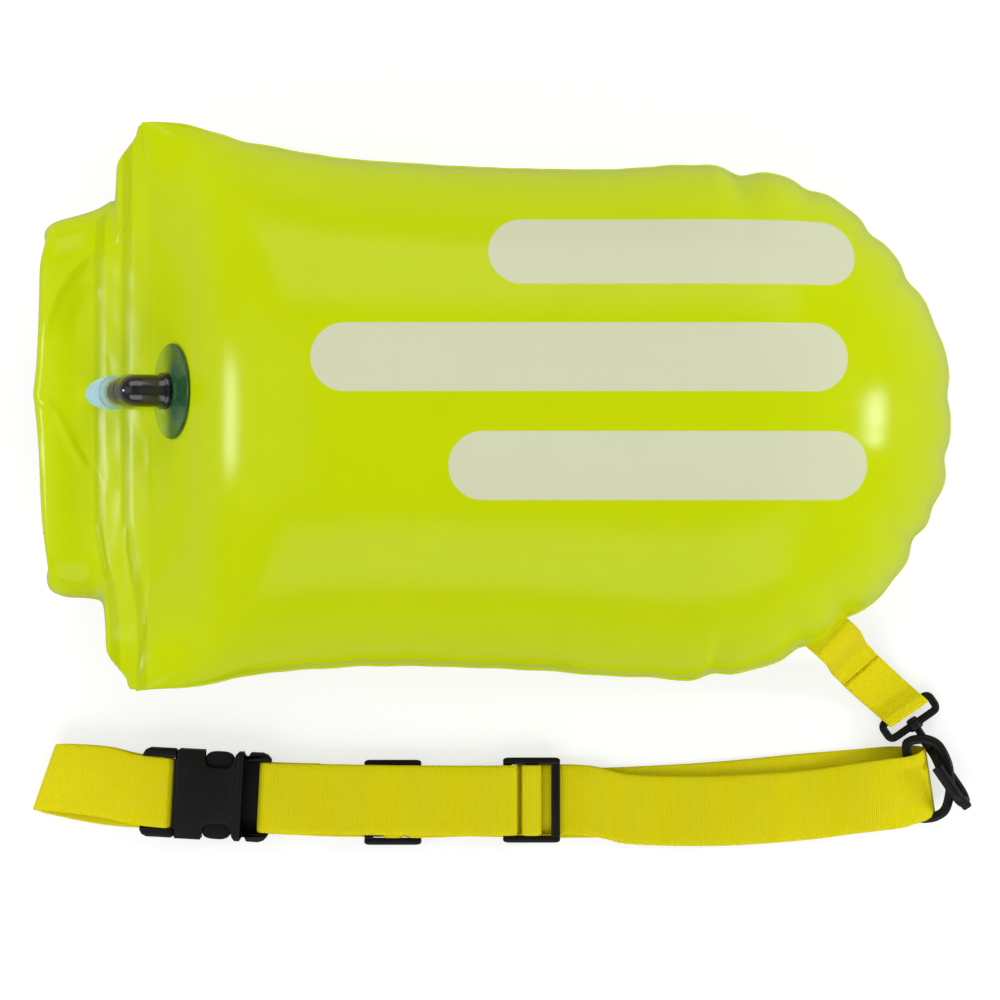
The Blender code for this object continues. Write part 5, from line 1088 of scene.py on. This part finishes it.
BUCKLE_Z = level(1) + WEBBING / 2 + CLEARANCE + 0.0055
BAR_WRAP = 0.002 + CLEARANCE + WEBBING / 2
SLIDER_NEAR = SLIDER_THICKNESS / 2 + CLEARANCE + WEBBING / 2
SLIDER_FAR = SLIDER_NEAR + LEVEL_PITCH
FRONT_SLIDER_Z = level(1) + SLIDER_FAR
REAR_SLIDER_Z = level(0) + SLIDER_FAR


def arc(centre_x, centre_z, radius, start, end, steps):
    """Points (x, z) on an arc, angles in degrees from +X towards +Z."""
    turns = [math.radians(start + (end - start) * n / steps) for n in range(steps + 1)]
    return [(centre_x + radius * math.cos(a), centre_z + radius * math.sin(a)) for a in turns]


def straight(x0, z0, x1, z1, steps):
    return [(x0 + (x1 - x0) * n / steps, z0 + (z1 - z0) * n / steps) for n in range(steps)]


def sloped(x0, z0, x1, z1, steps):
    """A rise or fall that starts and ends level, without its last point."""
    return [(x0 + (x1 - x0) * n / steps, z0 + (z1 - z0) * eased(n / steps)) for n in range(steps)]


def moved(path, x, z):
    return [(px + x, pz + z) for px, pz in path]


def wrap_path(side):
    """Sewn end round the centre bar of a slider, the strap coming from +X (1) or -X (-1)."""
    centre = SLIDER_CENTRE_BAR / 2
    turn_x, back_x = -centre + SLIDER_THICKNESS / 4, centre - SLIDER_THICKNESS / 4
    path = [(back_x, -SLIDER_NEAR), *arc(turn_x, 0, SLIDER_NEAR, -90, -270, 8), *arc(back_x, 0, SLIDER_NEAR, 90, 0, 4)]
    return [(side * x, z) for x, z in path]


def pass_path(side):
    """Through strap at a slider: under the centre bar and over the outer bar on the side away from the wrap."""
    half = SLIDER_LENGTH / 2
    outer = half - SLIDER_OUTER_BAR
    middle = outer - SLIDER_THICKNESS * 0.69
    path = [
        (half - SLIDER_OUTER_BAR / 3, -SLIDER_FAR),
        (-SLIDER_CENTRE_BAR / 3, -SLIDER_FAR),
        (-SLIDER_CENTRE_BAR, -SLIDER_FAR + CLEARANCE),
        (-middle + CLEARANCE * 2, -SLIDER_NEAR + CLEARANCE * 2),
        (-middle, 0),
        (-outer + 5 * CLEARANCE, SLIDER_NEAR - 3 * CLEARANCE),
        (-outer + CLEARANCE, SLIDER_NEAR - CLEARANCE / 2),
        (-outer - 2 * CLEARANCE, SLIDER_NEAR),
        (-half + SLIDER_OUTER_BAR / 2, SLIDER_NEAR),
        (-half, SLIDER_NEAR),
    ]
    return [(side * x, z) for x, z in path]


def fold_skew(x):
    """How far a layer's edges lean in plan near the folds at both ends of the belt."""
    left = 0.35 * max(0.0, 1 - (x - LOOP_FOLD_X) / (BUCKLE_X - MALE_LENGTH - LOOP_FOLD_X))
    right = -0.15 * max(0.0, 1 - (RING_FOLD_X - x) / (2 * BELT_WIDTH / 3))
    return min(left, 0.35) + max(right, -0.15)


def pinch(x):
    """Share of its full width that the webbing has, a little less inside the ring."""
    return 1 - 0.050 * eased((x - RING_LEG_X + 0.010) / 0.014)


def stations(path, line, turn=0.0):
    """Give each (x, z) point of a strap its middle line in plan, its skew and its width."""
    out = []
    for x, z in path:
        in_buckle = BUCKLE_X - MALE_LENGTH <= x <= BUCKLE_X + FEMALE_LENGTH + FRAME_LENGTH
        out.append((x, line(x), z, -math.tan(turn) if in_buckle else fold_skew(x), pinch(x)))
    return out


def blended(path, line_a, line_b):
    """Like stations, with the middle line going from one table to another."""
    out = []
    for n, (x, z) in enumerate(path):
        share = n / (len(path) - 1)
        out.append((x, line_a(x) * (1 - share) + line_b(x) * share, z, fold_skew(x), pinch(x)))
    return out


def at_slider(path, slider_x, line):
    """Stations whose middle line is level where the strap threads a slider, and turned where it lies on a bar."""
    slider_y = line(slider_x)
    out = []
    for x, y, z, skew, share in stations(path, line, BUCKLE_TURN if line is front_y else 0.0):
        near = max(0.0, 1 - max(0.0, abs(x - slider_x) - SLIDER_LENGTH / 2) / SLIDER_LENGTH)
        out.append((x, y + (slider_y - y) * near, z, skew, share))
    return out


def strap(name, places, width, body, finish, matrix=None, start=0.0):
    """Webbing with round selvedges through stations (x, y, z, skew, width share)."""
    route = [Vector(p[:3]) for p in places]
    fine = smooth_line(route, 4)
    extra = smooth_line([(p[3], p[4], 0) for p in places], 4)
    lengths = lengths_along(fine)
    count = len(fine) - 1
    half, thick = width / 2, WEBBING / 2
    section = [(-1.0, 0.0), (-0.985, 0.6), (-0.95, 0.93), (-0.8, 1.0), (-0.4, 1.0), (0.0, 1.0), (0.4, 1.0), (0.8, 1.0)]
    section += [(0.95, 0.93), (0.985, 0.6), (1.0, 0.0)]
    section += [(across, -up) for across, up in reversed(section[1:-1])]
    sides = len(section)

    def place(u, v):
        n = round(u * count)
        before, after = fine[max(n - 1, 0)], fine[min(n + 1, count)]
        run = Vector((after.x - before.x, 0, after.z - before.z)).normalized()
        up = Vector((-run.z, 0, run.x))
        skew, share = extra[n].x, extra[n].y
        side = Vector((skew, 1, 0)).normalized()
        across, through = section[round(v * sides) % sides]
        edge = noise.noise(Vector((lengths[n] * 24, across * 2, 4.0))) * 0.0002 * abs(across)
        return fine[n] + side * across * (half * share + edge) + up * (through * thick)

    def cloth(u, v):
        across = section[round(v * sides) % sides][0]
        return (start + lengths[round(u * count)], (across + 1) * half)

    bm = close(shaped_grid(count, sides, place, cloth))
    if matrix:
        bmesh.ops.transform(bm, matrix=matrix, verts=bm.verts)
    return new_piece(name, bm, finish, body, angle=60), lengths[-1]


def belt_run(name, places, start, node):
    """One run of the belt, baked in place, that stands in for a CAD node."""
    piece, length = strap(name, places, BELT_WIDTH, None, STRAP, start=start)
    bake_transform(piece)
    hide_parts(node)


def belt():
    fold_z = (level(0) + level(1)) / 2 + LEVEL_PITCH / 2 + SLIDER_THICKNESS * 0.857
    outer, inner = fold_z - level(0), fold_z - level(1)
    male_left = BUCKLE_X - MALE_LENGTH
    wrap_x = BUCKLE_X + MALE_BAR
    path = straight(SPLIT_X, level(1), LOOP_FOLD_X, level(1), 12)
    turn_in = arc(LOOP_FOLD_X, fold_z, inner, -90, -270, 8)
    lower = sloped(LOOP_FOLD_X, fold_z + inner, male_left, BUCKLE_Z - BAR_WRAP, 6)[1:]
    wrap = [(male_left, BUCKLE_Z - BAR_WRAP)] + arc(wrap_x, BUCKLE_Z, BAR_WRAP, -90, 90, 8)
    upper = [(male_left, BUCKLE_Z + BAR_WRAP)]
    upper += sloped(male_left, BUCKLE_Z + BAR_WRAP, LOOP_FOLD_X, fold_z + outer, 6)[1:]
    turn_out = arc(LOOP_FOLD_X, fold_z, outer, 90, 270, 10)
    back = straight(LOOP_FOLD_X, level(0), SPLIT_X, level(0), 12)[1:] + [(SPLIT_X, level(0))]
    places = stations(path, floor_y) + blended(turn_in, floor_y, front_y)
    places += stations(lower + wrap + upper, front_y, BUCKLE_TURN)
    places += blended(turn_out, front_y, floor_y) + stations(back, floor_y)
    ends = len(places) - len(back)
    places = [(*p[:3], fold_skew(p[0]) if n < len(path) or n >= ends else p[3], p[4]) for n, p in enumerate(places)]
    belt_run(
        "belt_loop", places, 0.40,
        "belt_loop_strap",
    )

    tail = straight(SPLIT_X, level(1), REAR_SLIDER_X - SLIDER_CENTRE_BAR / 2, level(1), 8)
    tail += moved(wrap_path(-1), REAR_SLIDER_X, REAR_SLIDER_Z)
    belt_run(
        "belt_sewn_end", at_slider(tail, REAR_SLIDER_X, floor_y), 0.2,
        "belt_end_strap",
    )

    through = moved(pass_path(-1), REAR_SLIDER_X, REAR_SLIDER_Z)
    centre = [n for n, p in enumerate(through) if p[0] <= REAR_SLIDER_X][-1]
    left = straight(SPLIT_X, level(0), through[0][0], level(0), 8) + through[: centre + 2]
    belt_run(
        "belt_floor_left", at_slider(left, REAR_SLIDER_X, floor_y), 0.1,
        "belt_main_strap",
    )

    rest_x = REAR_SLIDER_X + SLIDER_LENGTH / 2
    right = through[centre + 1 :]
    right += sloped(rest_x, REAR_SLIDER_Z + SLIDER_NEAR, rest_x + SLIDER_LENGTH, level(0), 6)[1:]
    under_ring = RING_LEG_X - BELT_WIDTH / 2
    right += straight(rest_x + SLIDER_LENGTH, level(0), under_ring, level(0), 18) + [(under_ring, level(0))]
    belt_run(
        "belt_floor_right", at_slider(right, REAR_SLIDER_X, floor_y), 0.15,
        "belt_main_strap",
    )

    radius = RING_FOLD_RADIUS
    over = arc(RING_FOLD_X, level(0) + radius, radius, -90, 90, 10)
    top, fall_x, under_x = level(0) + 2 * radius, RING_LEG_X - 0.0054, TAIL_END_X + SLIDER_THICKNESS
    run = [(RING_FOLD_X - 0.0054, top)] + sloped(fall_x, top, under_x, level(2), 10)
    run += straight(under_x, level(2), FRONT_SLIDER_X + SLIDER_CENTRE_BAR, level(2), 16)
    run += moved(wrap_path(1), FRONT_SLIDER_X, FRONT_SLIDER_Z)
    start = straight(under_ring, level(0), RING_FOLD_X, level(0), 3)
    places = at_slider(start, REAR_SLIDER_X, floor_y) + blended(over, floor_y, front_y)
    places += at_slider(run, FRONT_SLIDER_X, front_y)
    belt_run(
        "belt_ring_fold", places, 0.42,
        "belt_main_strap",
    )

    female_right = BUCKLE_X + FEMALE_LENGTH + FRAME_LENGTH
    bar_x = BUCKLE_X + FEMALE_BAR
    sewn_x = female_right + BELT_WIDTH * 0.7
    high = FRONT_SLIDER_Z + SLIDER_NEAR
    path = sloped(sewn_x, high - 2 * LEVEL_PITCH, female_right, BUCKLE_Z - BAR_WRAP, 4)
    path += [(female_right, BUCKLE_Z - BAR_WRAP)] + arc(bar_x, BUCKLE_Z, BAR_WRAP, 270, 90, 8)
    path += [(female_right, BUCKLE_Z + BAR_WRAP)]
    path += sloped(female_right, BUCKLE_Z + BAR_WRAP, sewn_x, high, 5)[1:]
    path += straight(sewn_x, high, FRONT_SLIDER_X - SLIDER_LENGTH / 2 - CLEARANCE, high, 10)
    passing = list(reversed(moved(pass_path(1), FRONT_SLIDER_X, FRONT_SLIDER_Z)))
    low = [n for n, p in enumerate(passing) if p[0] >= FRONT_SLIDER_X - 0.002][0]
    path += passing[: low + 1]
    belt_run(
        "belt_adjuster", at_slider(path, FRONT_SLIDER_X, front_y), 0.02,
        "belt_adjust_strap",
    )

    path = passing[low:] + straight(FRONT_SLIDER_X + SLIDER_LENGTH / 2, level(1), TAIL_END_X, level(1), 12)
    path.append((TAIL_END_X, level(1)))
    belt_run(
        "belt_tail", at_slider(path, FRONT_SLIDER_X, front_y), 0.6,
        "belt_adjust_strap",
    )


TETHER_ROOT = (0.1477, -0.1102, 0)
HOOK_X, HOOK_Y, HOOK_Z = 0.2034, -0.1619, 0.0046
HOOK_TURN, HOOK_ROLL = math.radians(-55.4), math.radians(16.0)
# Distance between the hook's two legs, half its bar, the end of its nose and the root of its gate
HOOK_DEPTH, HOOK_BAR_HALF, HOOK_NOSE_X, GATE_ROOT_X = 0.015, 0.0023, 0.0252, 0.0185
EYE_BACK, EYE_FAR_BAR, EYE_THICKNESS = 0.0100, 0.0035, 0.0035


def tether():
    root = Vector(TETHER_ROOT)
    place = Matrix.Translation((HOOK_X, HOOK_Y, 0)) @ Matrix.Rotation(HOOK_TURN, 4, "Z")
    way = place @ Vector((EYE_FAR_BAR / 2 - EYE_BACK, 0, 0)) - root
    heading, length = math.atan2(way.y, way.x), way.length
    axis = Matrix.Translation(root) @ Matrix.Rotation(heading, 4, "Z")
    gap, unit, step_x, step_z = LEVEL_PITCH, 0.004, 0.030, 0.0205
    near = EYE_THICKNESS / 2 + CLEARANCE + WEBBING / 2
    low = HOOK_Z - near
    route = [
        (-0.012, MID_Z), (0.0, MID_Z), (unit, MID_Z - unit / 8), (unit * 2.3, MID_Z - unit * 1.4),
        (unit * 3.6, MID_Z - unit * 6), (unit * 4.7, MID_Z - unit * 11), (unit * 5.9, step_z + unit * 3.2),
        (step_x, step_z + unit / 2), (step_x + unit * 1.6, step_z / 2), (step_x + unit * 4.2, low + gap),
        (length - unit * 1.5, low), (length, low),
    ]
    line = [(p.x, p.y) for p in smooth_line([(x, z, 0) for x, z in route], 3)]
    corner_x = length + EYE_FAR_BAR / 2 + CLEARANCE / 2
    square = EYE_THICKNESS / 2
    wrap = arc(corner_x, HOOK_Z - square, near - square, -90, 0, 4)
    wrap += arc(corner_x, HOOK_Z + square, near - square, 0, 90, 4)
    lower = [p for p in line if p[0] > step_x]
    upper = []
    for n in range(len(lower) - 1, 0, -1):
        run_x, run_z = lower[n][0] - lower[n - 1][0], lower[n][1] - lower[n - 1][1]
        size = math.hypot(run_x, run_z)
        rise = (2 * near - gap) * eased((lower[n][0] - length + unit * 3) / (unit * 3))
        upper.append((lower[n][0] - run_z / size * gap, lower[n][1] + run_x / size * gap + rise))
    places = []
    for x, z in line[:-1] + wrap + upper[1:]:
        share = min(max(x / length / 0.9, 0.0), 1.0)
        places.append((x, 0.0, z, -math.tan((HOOK_TURN - heading) * share), 1.0))
    piece, size = strap("tether_webbing_loop", places, TETHER_WIDTH, "float", TETHER, axis, start=0.05)
    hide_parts("tether_strap")


def closure_tabs():
    near = 0.002 * CLOSURE_RATIO + CLEARANCE + WEBBING / 2
    rise = WEBBING / 2 + CLEARANCE / 2
    reach = 0.060
    for name, node, side, bar_x, edge in (
        ("closure_tab_upper", "closure_tab_female", 1, FEMALE_BAR, FEMALE_LENGTH + FRAME_LENGTH),
        ("closure_tab_lower", "closure_tab_male", -1, MALE_BAR, -MALE_LENGTH),
    ):
        bar_x, edge = bar_x * CLOSURE_RATIO, edge * CLOSURE_RATIO
        end_x = ROLL_CENTRE_Y - CLOSURE_Y + side * (reach - CLEARANCE)
        out = [(end_x, rise)] + sloped(end_x - side * near, rise, edge, near, 3)[1:] + [(edge, near)]
        turn = [(side * x, z) for x, z in arc(side * bar_x, 0, near, 90, 270, 6)]
        back = [(x, -z) for x, z in reversed(out)]
        places = [(x, 0.0, z, 0.0, 1.0) for x, z in out + turn + back]
        piece, length = strap(name, places, TETHER_WIDTH - 0.0007, "float" if side > 0 else None, STRAP, CLOSURE)
        if side < 0:
            # the ends of this tab are worked out, and its transform is baked into its mesh
            ends = [(ROLL_X, CLOSURE_Y + end_x + 0.004, ROLL_END_Z), (ROLL_X, CLOSURE_Y - 0.0010, ROLL_END_Z)]
            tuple(ends[0])
            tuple(ends[1])
            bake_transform(piece)
        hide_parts(node)


# Moulded hardware


def rounded(points, radius, steps=4):
    """A closed outline with its corners rounded."""
    out = []
    for n, point in enumerate(points):
        corner = Vector(point)
        before, after = Vector(points[n - 1]), Vector(points[(n + 1) % len(points)])
        start = corner.lerp(before, min(radius / (before - corner).length, 0.48))
        end = corner.lerp(after, min(radius / (after - corner).length, 0.48))
        out += [start.lerp(corner, n / steps).lerp(corner.lerp(end, n / steps), n / steps) for n in range(steps + 1)]
    return out


def both_sides(half):
    return [*half, *((x, -y) for x, y in reversed(half))]


def mirrored(points):
    return [(x, -y) for x, y in points]


def add_plate(bm, outline, low, high, rim, segments=3):
    """Add a closed plate with rounded rims between two heights."""
    under = [bm.verts.new((x, y, low)) for x, y in outline]
    made = bmesh.ops.extrude_face_region(bm, geom=[bm.faces.new(under)])["geom"]
    upper = [part for part in made if isinstance(part, bmesh.types.BMVert)]
    bmesh.ops.translate(bm, verts=upper, vec=(0, 0, high - low))
    ends = [edge for vert in under + upper for edge in vert.link_edges if edge.verts[0].co.z == edge.verts[1].co.z]
    bmesh.ops.bevel(
        bm, geom=list(dict.fromkeys(ends)), offset=rim, offset_type="OFFSET", segments=segments, profile=0.5,
        affect="EDGES", material=-1,
    )


def add_bar(bm, line, section, closed=False):
    """Add a bar swept along points of the XY plane, with a section of (out, up) points."""
    count = len(line)
    rings = []
    for n, point in enumerate(line):
        before = line[n - 1] if closed or n else point
        after = line[(n + 1) % count] if closed or n < count - 1 else point
        way = (after - before).normalized()
        out = Vector((way.y, -way.x, 0))
        rings.append([bm.verts.new(point + out * across + Vector((0, 0, up))) for across, up in section])
    sides = len(section)
    for n in range(count if closed else count - 1):
        a, b = rings[n], rings[(n + 1) % count]
        for k in range(sides):
            bm.faces.new((a[k], a[(k + 1) % sides], b[(k + 1) % sides], b[k]))
    if not closed:
        bm.faces.new(rings[0])
        bm.faces.new(rings[-1])


def oval(breadth, thickness, sides=20, power=0.72):
    """A rounded rectangle of a section, as (across, up) points."""
    out = []
    for n in range(sides):
        c, s = math.cos(math.tau * n / sides), math.sin(math.tau * n / sides)
        out.append((math.copysign(abs(c) ** power, c) * breadth / 2, math.copysign(abs(s) ** power, s) * thickness / 2))
    return out


def moulded_piece(name, bm, matrix, body, node, angle=40):
    """Make a bmesh a black moulding that stands in for one CAD node."""
    bmesh.ops.recalc_face_normals(bm, faces=bm.faces)
    bmesh.ops.transform(bm, matrix=matrix, verts=bm.verts)
    new_piece(name, bm, MOULDING, body, [node], angle)


# Plans of one half of a side release buckle, in metres from the mouth of its female part: the female part's two
# plates, the lobes at the ends of both bars, the lug and its spring arm
PLATE = (
    (0.0, 0.0232), (0.0008, 0.0240), (0.0144, 0.0240), (0.0146, 0.0195), (0.0160, 0.0163), (0.0182, 0.0152),
    (0.0265, 0.0150), (0.0288, 0.0160), (0.0303, 0.0190), (0.0312, 0.0220), (0.0326, 0.0238), (0.0354, 0.0239),
)
REAR_LOBE = (
    (0.0310, 0.0197), (0.0312, 0.0222), (0.0326, 0.0239), (0.0352, 0.0239), (0.0372, 0.0207), (0.0392, 0.0239),
    (0.0455, 0.0240), (0.0484, 0.0229), (0.0501, 0.0209), (0.0505, 0.0197),
)
FRONT_LOBE = (
    (-0.0005, 0.0190), (-0.0004, 0.0230), (-0.0016, 0.0240), (-0.0150, 0.0240), (-0.0176, 0.0228), (-0.0188, 0.0208),
    (-0.0190, 0.0192),
)
LUG = (
    (0.0150, 0.0212), (0.0170, 0.0230), (0.0200, 0.0236), (0.0262, 0.0236), (0.0292, 0.0224), (0.0304, 0.0205),
    (0.0306, 0.0175), (0.0290, 0.0146), (0.0262, 0.0134), (0.0150, 0.0126),
)
ARM = (
    (0.0049, 0.0168), (0.0060, 0.0170), (0.0150, 0.0168), (0.0200, 0.0170), (0.0200, 0.0130), (0.0062, 0.0126),
    (0.0050, 0.0128),
)


def buckle(prefix, nodes, bodies, matrix, ratio):
    """A side release buckle: female part, male part and the two lugs on its spring arms."""
    sized = matrix @ Matrix.Scale(ratio, 4)
    bm = bmesh.new()
    for low, high in ((0.0035, 0.0055), (-0.0055, -0.0035)):
        add_plate(bm, both_sides(PLATE), low, high, 0.0005)
    for start, end, side, low, high, rim in (
        (0.0325, 0.0355, 0.0226, 0.0045, 0.0062, 0.0005),
        (0.0325, 0.03545, 0.0225, -0.0046, 0.0054, 0.0004),
        (0.0468, 0.0504, 0.0200, -0.0020, 0.0020, 0.0009),
        (0.0350, 0.0466, 0.0200, -0.0054, -0.0043, 0.0003),
    ):
        add_plate(bm, rounded(both_sides(((start, side), (end, side))), 0.0010), low, high, rim)
    for flip in (list, mirrored):
        rail = rounded(((0.0001, 0.0192), (0.0001, 0.02385), (0.0144, 0.02385), (0.0144, 0.0192)), 0.0006)
        add_plate(bm, flip(rail), -0.00545, 0.00545, 0.0005)
        add_plate(bm, flip(REAR_LOBE), -0.0040, 0.0040, 0.0004, 2)
    moulded_piece(f"{prefix}_female_moulding", bm, sized, bodies[0], nodes[0])

    bm = bmesh.new()
    for flip in (list, mirrored):
        add_plate(bm, flip(FRONT_LOBE), -0.0040, 0.0040, 0.0012)
    bar = rounded(both_sides(((-0.0190, 0.0198), (-0.0058, 0.0198))), 0.0010)
    add_plate(bm, bar, -0.0020, 0.0020, 0.0009)
    add_plate(bm, rounded(both_sides(((-0.0015, 0.0191), (0.0045, 0.0191))), 0.0004), -0.0032, 0.0032, 0.0003)
    add_plate(bm, rounded(both_sides(((0.0040, 0.0034), (0.0305, 0.0034))), 0.0010), -0.0015, 0.0015, 0.0005)
    moulded_piece(f"{prefix}_male_moulding", bm, sized, bodies[1], nodes[1])

    for flip, side, node, body in ((list, "a", nodes[2], bodies[2]), (mirrored, "b", nodes[3], bodies[3])):
        bm = bmesh.new()
        add_plate(bm, flip(rounded(LUG, 0.0020)), -0.0032, 0.0032, 0.0009, 4)
        add_plate(bm, flip(rounded(ARM, 0.0008)), -0.0022, 0.0022, 0.0004)
        moulded_piece(f"{prefix}_lug_{side}", bm, sized, body, node)


def slider(name, node, body, x, y, z):
    """A tri-glide: two rails joined by three rounded bars."""
    bm = bmesh.new()
    half, wide, rail = SLIDER_LENGTH / 2, 0.0230, 0.0038
    thick = SLIDER_THICKNESS / 2
    for flip in (list, mirrored):
        outline = rounded(((-half, wide - rail), (-half, wide), (half, wide), (half, wide - rail)), 0.0034, 6)
        add_plate(bm, flip(outline), -thick, thick, 0.0011)
    for start, end in (
        (-half, -half + SLIDER_OUTER_BAR),
        (-SLIDER_CENTRE_BAR / 2, SLIDER_CENTRE_BAR / 2),
        (half - SLIDER_OUTER_BAR, half),
    ):
        bar = both_sides(((start + 0.0001, wide - rail + 0.0010), (end - 0.0001, wide - rail + 0.0010)))
        add_plate(bm, bar, -thick + 0.0001, thick - 0.0001, 0.0012, 4)
    moulded_piece(name, bm, Matrix.Translation((x, y, z)), body, node)


# Middle line of the ring, in shares of its reach and of half its width
RING_LINE = (
    (0.0, -0.82), (0.0, 0.0), (0.0, 0.82), (0.1, 0.965), (0.3, 1.0), (0.6, 0.95), (0.84, 0.76), (0.985, 0.36),
    (1.0, 0.0), (0.94, -0.42), (0.76, -0.82), (0.5, -0.965), (0.25, -0.985), (0.09, -0.95),
)
RING_REACH, RING_HALF = 0.0207, 0.0216


def ring():
    """The D-ring: a closed bar, tipped about its straight leg."""
    line = smooth_line([(RING_REACH * x, RING_HALF * y, 0) for x, y in RING_LINE], 8, closed=True)
    bm = bmesh.new()
    add_bar(bm, line, oval(0.0051, 0.0047, 24, 0.80), closed=True)
    place = Matrix.Translation((RING_LEG_X, -0.1931, 0.0077))
    place = place @ Matrix.Rotation(math.radians(8.5), 4, "Z") @ Matrix.Rotation(math.radians(-12), 4, "Y")
    moulded_piece("ring_bar", bm, place, "ring", "d_ring", 60)


def hook():
    """Swivel eye, snap hook and its gate."""
    place = Matrix.Translation((HOOK_X, HOOK_Y, HOOK_Z)) @ Matrix.Rotation(HOOK_TURN, 4, "Z")
    bm = bmesh.new()
    corners = [(-0.0083, -0.0153), (-0.0083, 0.0153), (0.00125, 0.0153), (0.00125, -0.0153)]
    line = [Vector((*p, 0)) for p in rounded(corners, 0.0032, 8)]
    add_bar(bm, spaced(line, 120, closed=True)[:-1], oval(0.0042, 0.0038, 20, 0.75), closed=True)
    boss = [(-0.0005, 0.0023), (-0.0005, 0.0034), (0.0003, 0.0042), (0.0035, 0.0042), (0.0043, 0.0034)]
    boss.append((0.0043, 0.0023))
    add_turned(bm, boss, 40)
    moulded_piece("swivel_eye", bm, place, "float", "hook_eye", 60)

    roll = place @ Matrix.Rotation(HOOK_ROLL, 4, "X")
    upright = Matrix.Rotation(math.pi / 2, 4, "X")
    bm = bmesh.new()
    line = [(0.0120, 0.0), (0.0290, 0.0)] + arc(0.0425, HOOK_DEPTH / 2, HOOK_DEPTH / 2, -90, 90, 14)
    line += [(0.0340, HOOK_DEPTH), (HOOK_NOSE_X, HOOK_DEPTH)]
    line = spaced(smooth_line([(x, z, 0) for x, z in line], 3), 90)
    add_bar(bm, line, oval(0.0043, 0.0061, 24, 0.78))
    nib = [(0.0490, 0.0064), (0.0526, 0.0070), (0.0538, 0.0080), (0.0538, 0.0098), (0.0526, 0.0110), (0.0490, 0.0114)]
    add_plate(bm, rounded(nib, 0.0006), -0.0026, 0.0026, 0.0011, 4)
    bmesh.ops.transform(bm, matrix=upright, verts=bm.verts)
    stud = [(-0.0023, 0.0), (-0.0023, 0.0026), (-0.0020, 0.0030), (-0.0008, 0.0032), (-0.0008, 0.0020)]
    stud += [(0.0105, 0.0020), (0.0122, 0.0027), (0.0140, 0.0030), (0.0160, 0.0022), (0.0160, 0.0)]
    add_turned(bm, stud, 32, solid=True)
    moulded_piece("hook_bar", bm, roll, "hook", "snap_hook", 60)

    leaf_half, root_radius = 0.0008, 0.0013
    root_z = HOOK_BAR_HALF + CLEARANCE + root_radius
    under = HOOK_DEPTH - HOOK_BAR_HALF - leaf_half
    lean = math.atan2(HOOK_NOSE_X + 2 * leaf_half - GATE_ROOT_X, under - root_z)
    reach = (under - root_z - leaf_half) / math.cos(lean)
    bm = bmesh.new()
    leaf = [(-root_radius, -0.0004), (-root_radius, 0.0004), (-0.0006, 0.0012), (0.0010, 0.0010), (0.0030, leaf_half)]
    leaf += [(reach, leaf_half), (reach, -leaf_half), (0.0030, -leaf_half), (0.0010, -0.0010), (-0.0006, -0.0012)]
    add_plate(bm, rounded(leaf, 0.0003, 3), -0.0018, 0.0018, 0.0004, 2)
    turn = Matrix.Translation((GATE_ROOT_X, 0, root_z)) @ Matrix.Rotation(lean - math.pi / 2, 4, "Y")
    moulded_piece("gate_leaf", bm, roll @ turn @ upright, "gate", "hook_gate")


def hardware():
    place = Matrix.Translation((BUCKLE_X, BUCKLE_Y, BUCKLE_Z)) @ Matrix.Rotation(BUCKLE_TURN, 4, "Z")
    nodes = ("buckle_female", "buckle_male", "buckle_arm_upper", "buckle_arm_lower")
    buckle("belt", nodes, ("float", "belt_plug", "belt_arm_u", "belt_arm_l"), place, 1.0)
    nodes = ("closure_female", "closure_male", "closure_arm_left", "closure_arm_right")
    buckle("closure", nodes, ("float", "closure_plug", "closure_arm_l", "closure_arm_r"), CLOSURE, CLOSURE_RATIO)
    slider("front_tri_glide", "slider_front", "front_slider", FRONT_SLIDER_X, front_y(FRONT_SLIDER_X), FRONT_SLIDER_Z)
    slider("rear_tri_glide", "slider_rear", "rear_slider", REAR_SLIDER_X, floor_y(REAR_SLIDER_X), REAR_SLIDER_Z)
    ring()
    hook()


def cad_finishes():
    """Better materials for the CAD nodes that stay."""
    finishes = {"valve_spring": STEEL, "tether_anchor": TETHER}
    for node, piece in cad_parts.items():
        if not piece.hide_render:
            piece.data.materials.clear()
            piece.data.materials.append(finishes.get(node, MOULDING))


studio()
float_skin()
seam_weld()
liner()
bag_mouth()
flange()
elbow_skin()
mouthpiece()
belt()
tether()
closure_tabs()
hardware()
cad_finishes()
